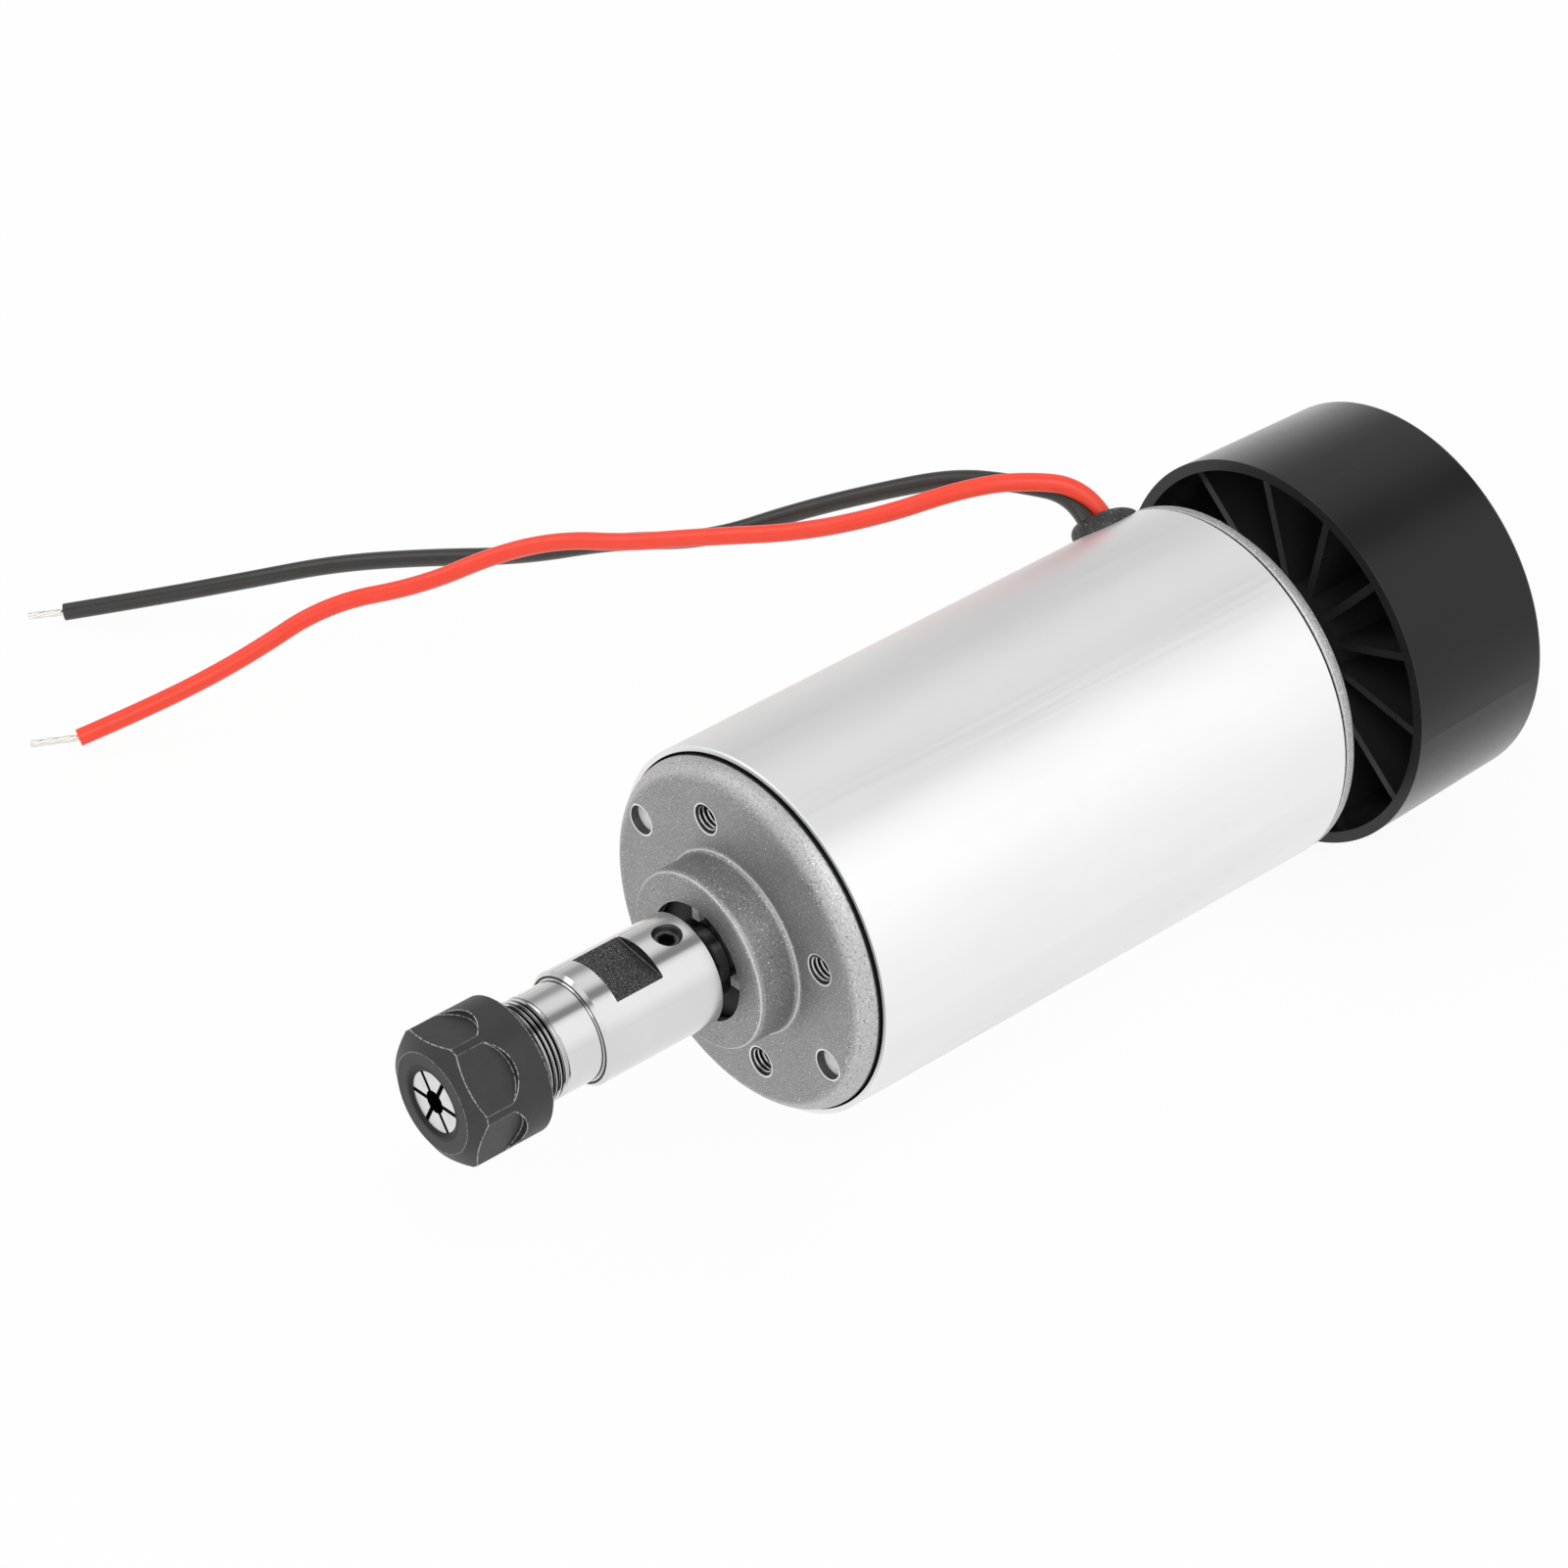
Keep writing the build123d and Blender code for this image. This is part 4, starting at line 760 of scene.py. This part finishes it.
dome_shares = (0.06, 0.2, 0.35, 0.5, 0.62, 0.73, 0.82, 0.89, 0.94, 0.975, 0.993, 1.0)
dome_loops = [dome_loop(share) for share in dome_shares]
neck_top, neck_foot, neck_share = 25.6, 23.4, 0.6
dome_loops += [dome_loop(1.0, height, neck_share) for height in (neck_top, neck_foot)]
for loop, following in zip(dome_loops, dome_loops[1:]):
    for step in range(len(loop)):
        near = (step + 1) % len(loop)
        dome_shape.faces.new((loop[step], loop[near], following[near], following[step]))
dome_shape.faces.new(dome_loops[0])
dome_shape.faces.new(dome_loops[-1])
bmesh.ops.recalc_face_normals(dome_shape, faces=dome_shape.faces)
grommet = bpy.data.objects.new("grommet", bpy.data.meshes.new("grommet"))
dome_shape.to_mesh(grommet.data)
dome_shape.free()
grommet.data.shade_smooth()
grommet.data.set_sharp_from_angle(angle=radians(50))
bpy.context.scene.collection.objects.link(grommet)
grommet.data.materials.append(black_rubber.material)
carried(grommet, "housing", "black_rubber", "lead_grommet")


# Leads
# Two stranded copper leads in soft red and black insulation, 162 and 166 mm long. They leave the grommet
# side by side and sink to the level the motor lies on. Their ends are stripped and tinned.
lead_thickness = 2.56 * mm
def make_lead(name, route, finish, body, slot, node):
    """A lead of its own thickness along the points of its route."""
    curve = bpy.data.curves.new(name, "CURVE")
    curve.dimensions = "3D"
    curve.resolution_u = 10
    curve.bevel_depth = lead_thickness / 2
    curve.bevel_resolution = 6
    curve.use_fill_caps = True
    spline = curve.splines.new("NURBS")
    spline.points.add(len(route) - 1)
    for point, (x, y, z) in zip(spline.points, route):
        point.co = (x, y, z, 1.0)
    spline.order_u = 3
    spline.use_endpoint_u = True
    lead = bpy.data.objects.new(name, curve)
    bpy.context.scene.collection.objects.link(lead)
    curve.materials.append(finish.material)
    return carried(lead, body, slot, node)


def insulation(name, dark, light):
    """Soft insulation, with a faint mottle and drag marks from the die."""
    finish = Finish(name)
    mottle = finish.clouds(2.5 * mm, 3.0)
    drag = finish.clouds(0.25 * mm, 3.0)
    finish.colour(finish.blend(mottle, dark, light))
    finish.roughness(finish.between(drag, 0.3, 0.7, 0.28, 0.4))
    finish.relief(drag, 0.005 * mm)
    return finish


strands = Recipe("twisted_strands", strand=0.1, lay=0.1, length=1.0, turns=1.0, around=6, fray=0.0)
strand_along = strands.step("GeometryNodeSplineParameter").outputs["Factor"]
outer_line = strands.step("GeometryNodeCurveSpiral", {
    "Resolution": 24, "Rotations": strands.size["turns"], "Start Radius": strands.size["lay"],
    "End Radius": strands.size["lay"], "Height": strands.size["length"]}).outputs[0]
strand_turn = strands.work("MULTIPLY", strands.work("DIVIDE", tau, strands.size["around"]),
                           strands.step("GeometryNodeInputIndex").outputs[0])
strand_places = strands.step("GeometryNodePoints", {"Count": strands.size["around"]}).outputs[0]
outer_copies = strands.step("GeometryNodeInstanceOnPoints", {
    "Points": strand_places, "Instance": outer_line,
    "Rotation": strands.point(0.0, 0.0, strand_turn)}).outputs[0]
outer_lines = strands.step("GeometryNodeRealizeInstances", {"Geometry": outer_copies}).outputs[0]
middle_line = strands.step("GeometryNodeCurvePrimitiveLine", {
    "End": strands.point(0.0, 0.0, strands.size["length"])}).outputs[0]
middle_line = strands.step("GeometryNodeResampleCurve", {"Curve": middle_line, "Count": 12}).outputs[0]
all_lines = strands.step("GeometryNodeJoinGeometry")
strands.tree.links.new(outer_lines, all_lines.inputs[0])
strands.tree.links.new(middle_line, all_lines.inputs[0])
strand_noise = strands.step("ShaderNodeTexNoise", {"Scale": 900.0, "Detail": 1.0})
drift_share = strands.work("MULTIPLY", strands.work("POWER", strand_along, 2.0), strands.size["fray"])
centred_noise = strands.step("ShaderNodeVectorMath", {0: strand_noise.outputs["Color"], 1: (0.5, 0.5, 0.5)},
                             operation="SUBTRACT").outputs[0]
strand_push = strands.step("ShaderNodeVectorMath", {0: centred_noise, "Scale": drift_share},
                           operation="SCALE").outputs[0]
frayed_lines = strands.step("GeometryNodeSetPosition", {
    "Geometry": all_lines.outputs[0], "Offset": strand_push}).outputs[0]
strand_tip = strands.work("MULTIPLY", strands.work("SUBTRACT", 1.04, strand_along), 9.0)
frayed_lines = strands.step("GeometryNodeSetCurveRadius", {
    "Curve": frayed_lines, "Radius": strands.work("MINIMUM", strand_tip, 1.0)}).outputs[0]
strands.end(strands.step("GeometryNodeCurveToMesh", {
    "Curve": frayed_lines, "Profile Curve": strands.step("GeometryNodeCurvePrimitiveCircle", {
        "Resolution": 10, "Radius": strands.size["strand"]}).outputs[0], "Fill Caps": True}).outputs[0])

tinned_copper = Finish("tinned_copper", metallic=1.0)
tin_grain = tinned_copper.clouds(0.2 * mm, 4.0)
tinned_copper.colour(tinned_copper.blend(tin_grain, shade(206, 202, 190), shade(252, 250, 244)))
tinned_copper.roughness(tinned_copper.between(tin_grain, 0.3, 0.7, 0.12, 0.26))
tinned_copper.relief(tin_grain, 0.01 * mm)

red_route = [
    (-0.0187, 0.0830, 0.0193), (-0.0222, 0.0825, 0.0232), (-0.0288, 0.0755, 0.0238),
    (-0.0340, 0.0695, 0.0221), (-0.0404, 0.0623, 0.0181), (-0.0497, 0.0552, 0.0136),
    (-0.0629, 0.0488, 0.0090), (-0.0743, 0.0442, 0.0042), (-0.0839, 0.0405, 0.0015),
    (-0.0922, 0.0354, -0.0027), (-0.1003, 0.0273, -0.0090), (-0.1096, 0.0172, -0.0123),
    (-0.1138, 0.0055, -0.0186), (-0.1179, -0.0070, -0.0229), (-0.1221, -0.0185, -0.0259),
]
black_route = [
    (-0.0185, 0.0801, 0.0191), (-0.0234, 0.0819, 0.0212), (-0.0305, 0.0777, 0.0215),
    (-0.0386, 0.0736, 0.0203), (-0.0474, 0.0674, 0.0162), (-0.0567, 0.0607, 0.0112),
    (-0.0675, 0.0531, 0.0041), (-0.0810, 0.0477, -0.0004), (-0.0944, 0.0413, -0.0071),
    (-0.1087, 0.0352, -0.0119), (-0.1215, 0.0277, -0.0162), (-0.1320, 0.0185, -0.0206),
    (-0.1414, 0.0083, -0.0239), (-0.1497, -0.0015, -0.0263),
]
for colour, route, tip, dark, light, fray, length in (
        ("red", red_route, (-0.1255, -0.0245, -0.0260), shade(249, 60, 36), shade(254, 76, 50),
         0.10 * mm, 0.1620),
        ("black", black_route, (-0.1522, -0.0062, -0.0262), shade(40, 40, 37), shade(54, 53, 49),
         0.35 * mm, 0.1662)):
    sheath = insulation(f"{colour}_insulation", dark, light)
    lead = make_lead(f"lead_{colour}_run", route, sheath, "housing", f"{colour}_insulation", f"lead_{colour}")
    last = Vector(route[-1])
    bare = (Vector(tip) - last).length
    outward = Matrix.Translation(last) @ (Vector(tip) - last).to_track_quat("Z", "Y").to_matrix().to_4x4()
    end = strands.make(f"lead_{colour}_strands", outward, tinned_copper, strand=0.25 * mm, lay=0.27 * mm,
                       length=bare, turns=bare / (9.0 * mm), around=4, fray=fray)
    carried(end, "housing", "tinned_copper", f"lead_{colour}_end")

# Floor
# A wide pale sheet, on which the object lies. The camera and the object's mirror-like surfaces see it almost
# white, and the object's soft shadow shows faintly on it.
floor_level = cad_box[0].z
floor_mesh = bpy.data.meshes.new("floor")
floor_mesh.from_pydata([(x, y, floor_level) for x, y in ((-6, -6), (6, -6), (6, 6), (-6, 6))],
                       [], [(0, 1, 2, 3)])
floor = bpy.data.objects.new("floor", floor_mesh)
bpy.context.scene.collection.objects.link(floor)
floor_paper = Finish("floor_paper")
floor_paper.colour(floor_paper.blend(floor_paper.clouds(0.4, 2.0), shade(240), shade(243)))
floor_paper.roughness(0.9)
floor_paper.shader.inputs["Specular IOR Level"].default_value = 0.0
floor_rays = floor_paper.nodes.new("ShaderNodeLightPath")
floor_white = floor_paper.nodes.new("ShaderNodeEmission")
floor_mix = floor_paper.nodes.new("ShaderNodeMixShader")
floor_seen = floor_paper.work("MINIMUM", floor_paper.work("ADD", floor_paper.work(
    "ADD", floor_rays.outputs["Is Camera Ray"], floor_rays.outputs["Is Glossy Ray"]),
    floor_rays.outputs["Is Transmission Ray"]), 1.0)
floor_paper.links.new(floor_paper.work("MULTIPLY", floor_seen, 0.94), floor_mix.inputs[0])
floor_paper.links.new(floor_paper.shader.outputs[0], floor_mix.inputs[1])
floor_paper.links.new(floor_white.outputs[0], floor_mix.inputs[2])
floor_paper.links.new(floor_mix.outputs[0], floor_paper.nodes["Material Output"].inputs["Surface"])
floor_mesh.materials.append(floor_paper.material)

# Studio light
# A white room whose walls differ with the angle round the object: brightest on the right above, with one dark
# gap overhead and one on the left. Two large soft boxes, one above on the right and a weaker one on the left.
world = bpy.data.worlds.new("studio")
bpy.context.scene.world = world
world.use_nodes = True
room, cable = world.node_tree.nodes, world.node_tree.links
room_light = room["Background"]
room_light.inputs["Strength"].default_value = 0.8
room_seen = room.new("ShaderNodeBackground")
room_rays = room.new("ShaderNodeLightPath")
room_choice = room.new("ShaderNodeMixShader")
room_way = room.new("ShaderNodeSeparateXYZ")
cable.new(room.new("ShaderNodeTexCoord").outputs["Generated"], room_way.inputs[0])
room_angle = room.new("ShaderNodeMath")
room_angle.operation = "ARCTAN2"
cable.new(room_way.outputs["Z"], room_angle.inputs[0])
cable.new(room_way.outputs["X"], room_angle.inputs[1])
room_turn = room.new("ShaderNodeMapRange")
for name, value in (("From Min", 0.0), ("From Max", radians(180)), ("To Min", 0.0), ("To Max", 1.0)):
    room_turn.inputs[name].default_value = value
cable.new(room_angle.outputs[0], room_turn.inputs["Value"])
room_shade = room.new("ShaderNodeValToRGB")
room_stops = room_shade.color_ramp.elements
room_stops.remove(room_stops[1])
room_stops[0].color = (0.82, 0.82, 0.82, 1)
for degrees, level in ((15, 0.92), (28, 1.0), (62, 1.0), (71, 0.80), (76, 0.24), (88, 0.26), (97, 0.66),
                       (106, 0.82), (124, 0.80), (142, 0.36), (154, 0.36), (164, 0.60), (180, 0.66)):
    stop = room_stops.new(degrees / 180)
    stop.color = (level, level, level, 1)
cable.new(room_turn.outputs["Result"], room_shade.inputs[0])
room_level = room.new("ShaderNodeMix")
cable.new(room_rays.outputs["Is Glossy Ray"], room_level.inputs[0])
room_level.inputs[2].default_value = 1.0
room_gain = room.new("ShaderNodeMath")
room_gain.operation = "MULTIPLY"
cable.new(room_shade.outputs["Color"], room_gain.inputs[0])
room_gain.inputs[1].default_value = 1.18
cable.new(room_gain.outputs[0], room_level.inputs[3])
cable.new(room_level.outputs[0], room_seen.inputs["Strength"])
room_seen.inputs["Color"].default_value = (1, 1, 1, 1)
room_light.inputs["Color"].default_value = (1, 1, 1, 1)
room_sight = room.new("ShaderNodeMath")
room_sight.operation = "ADD"
room_sight.use_clamp = True
cable.new(room_rays.outputs["Is Camera Ray"], room_sight.inputs[0])
room_gloss = room.new("ShaderNodeMath")
room_gloss.operation = "ADD"
cable.new(room_rays.outputs["Is Glossy Ray"], room_gloss.inputs[0])
cable.new(room_rays.outputs["Is Transmission Ray"], room_gloss.inputs[1])
cable.new(room_gloss.outputs[0], room_sight.inputs[1])
cable.new(room_sight.outputs[0], room_choice.inputs[0])
cable.new(room_light.outputs[0], room_choice.inputs[1])
cable.new(room_seen.outputs[0], room_choice.inputs[2])
cable.new(room_choice.outputs[0], room["World Output"].inputs["Surface"])

for name, place, size, power in (("soft_box_right", (0.55, -0.25, 0.95), 0.7, 2.6),
                                 ("soft_box_left", (-0.7, -0.5, 0.7), 0.6, 1.5)):
    lamp = bpy.data.lights.new(name, "AREA")
    lamp.size = size
    lamp.energy = power
    box = bpy.data.objects.new(name, lamp)
    bpy.context.scene.collection.objects.link(box)
    box.location = place
    box.rotation_euler = (Vector((0, 0.04, 0)) - Vector(place)).to_track_quat("-Z", "Y").to_euler()

# Camera
# It looks down on the object from the front right, through a long lens. Its place was solved from points on
# the tube, the front cap and the nose.
lens = bpy.data.cameras.new("camera")
lens.sensor_width = 36.0
lens.lens = 128.9
lens.clip_start, lens.clip_end = 0.01, 50.0
camera = bpy.data.objects.new("camera", lens)
bpy.context.scene.collection.objects.link(camera)
camera.matrix_world = Matrix(((0.65760, -0.44974, 0.60440, 0.431806), (0.75337, 0.39256, -0.52757, -0.368283),
                              (0.0, 0.80226, 0.59697, 0.447550), (0, 0, 0, 1)))
bpy.context.scene.camera = camera
bpy.context.scene.view_settings.view_transform = "Standard"

bpy.context.view_layer.update()
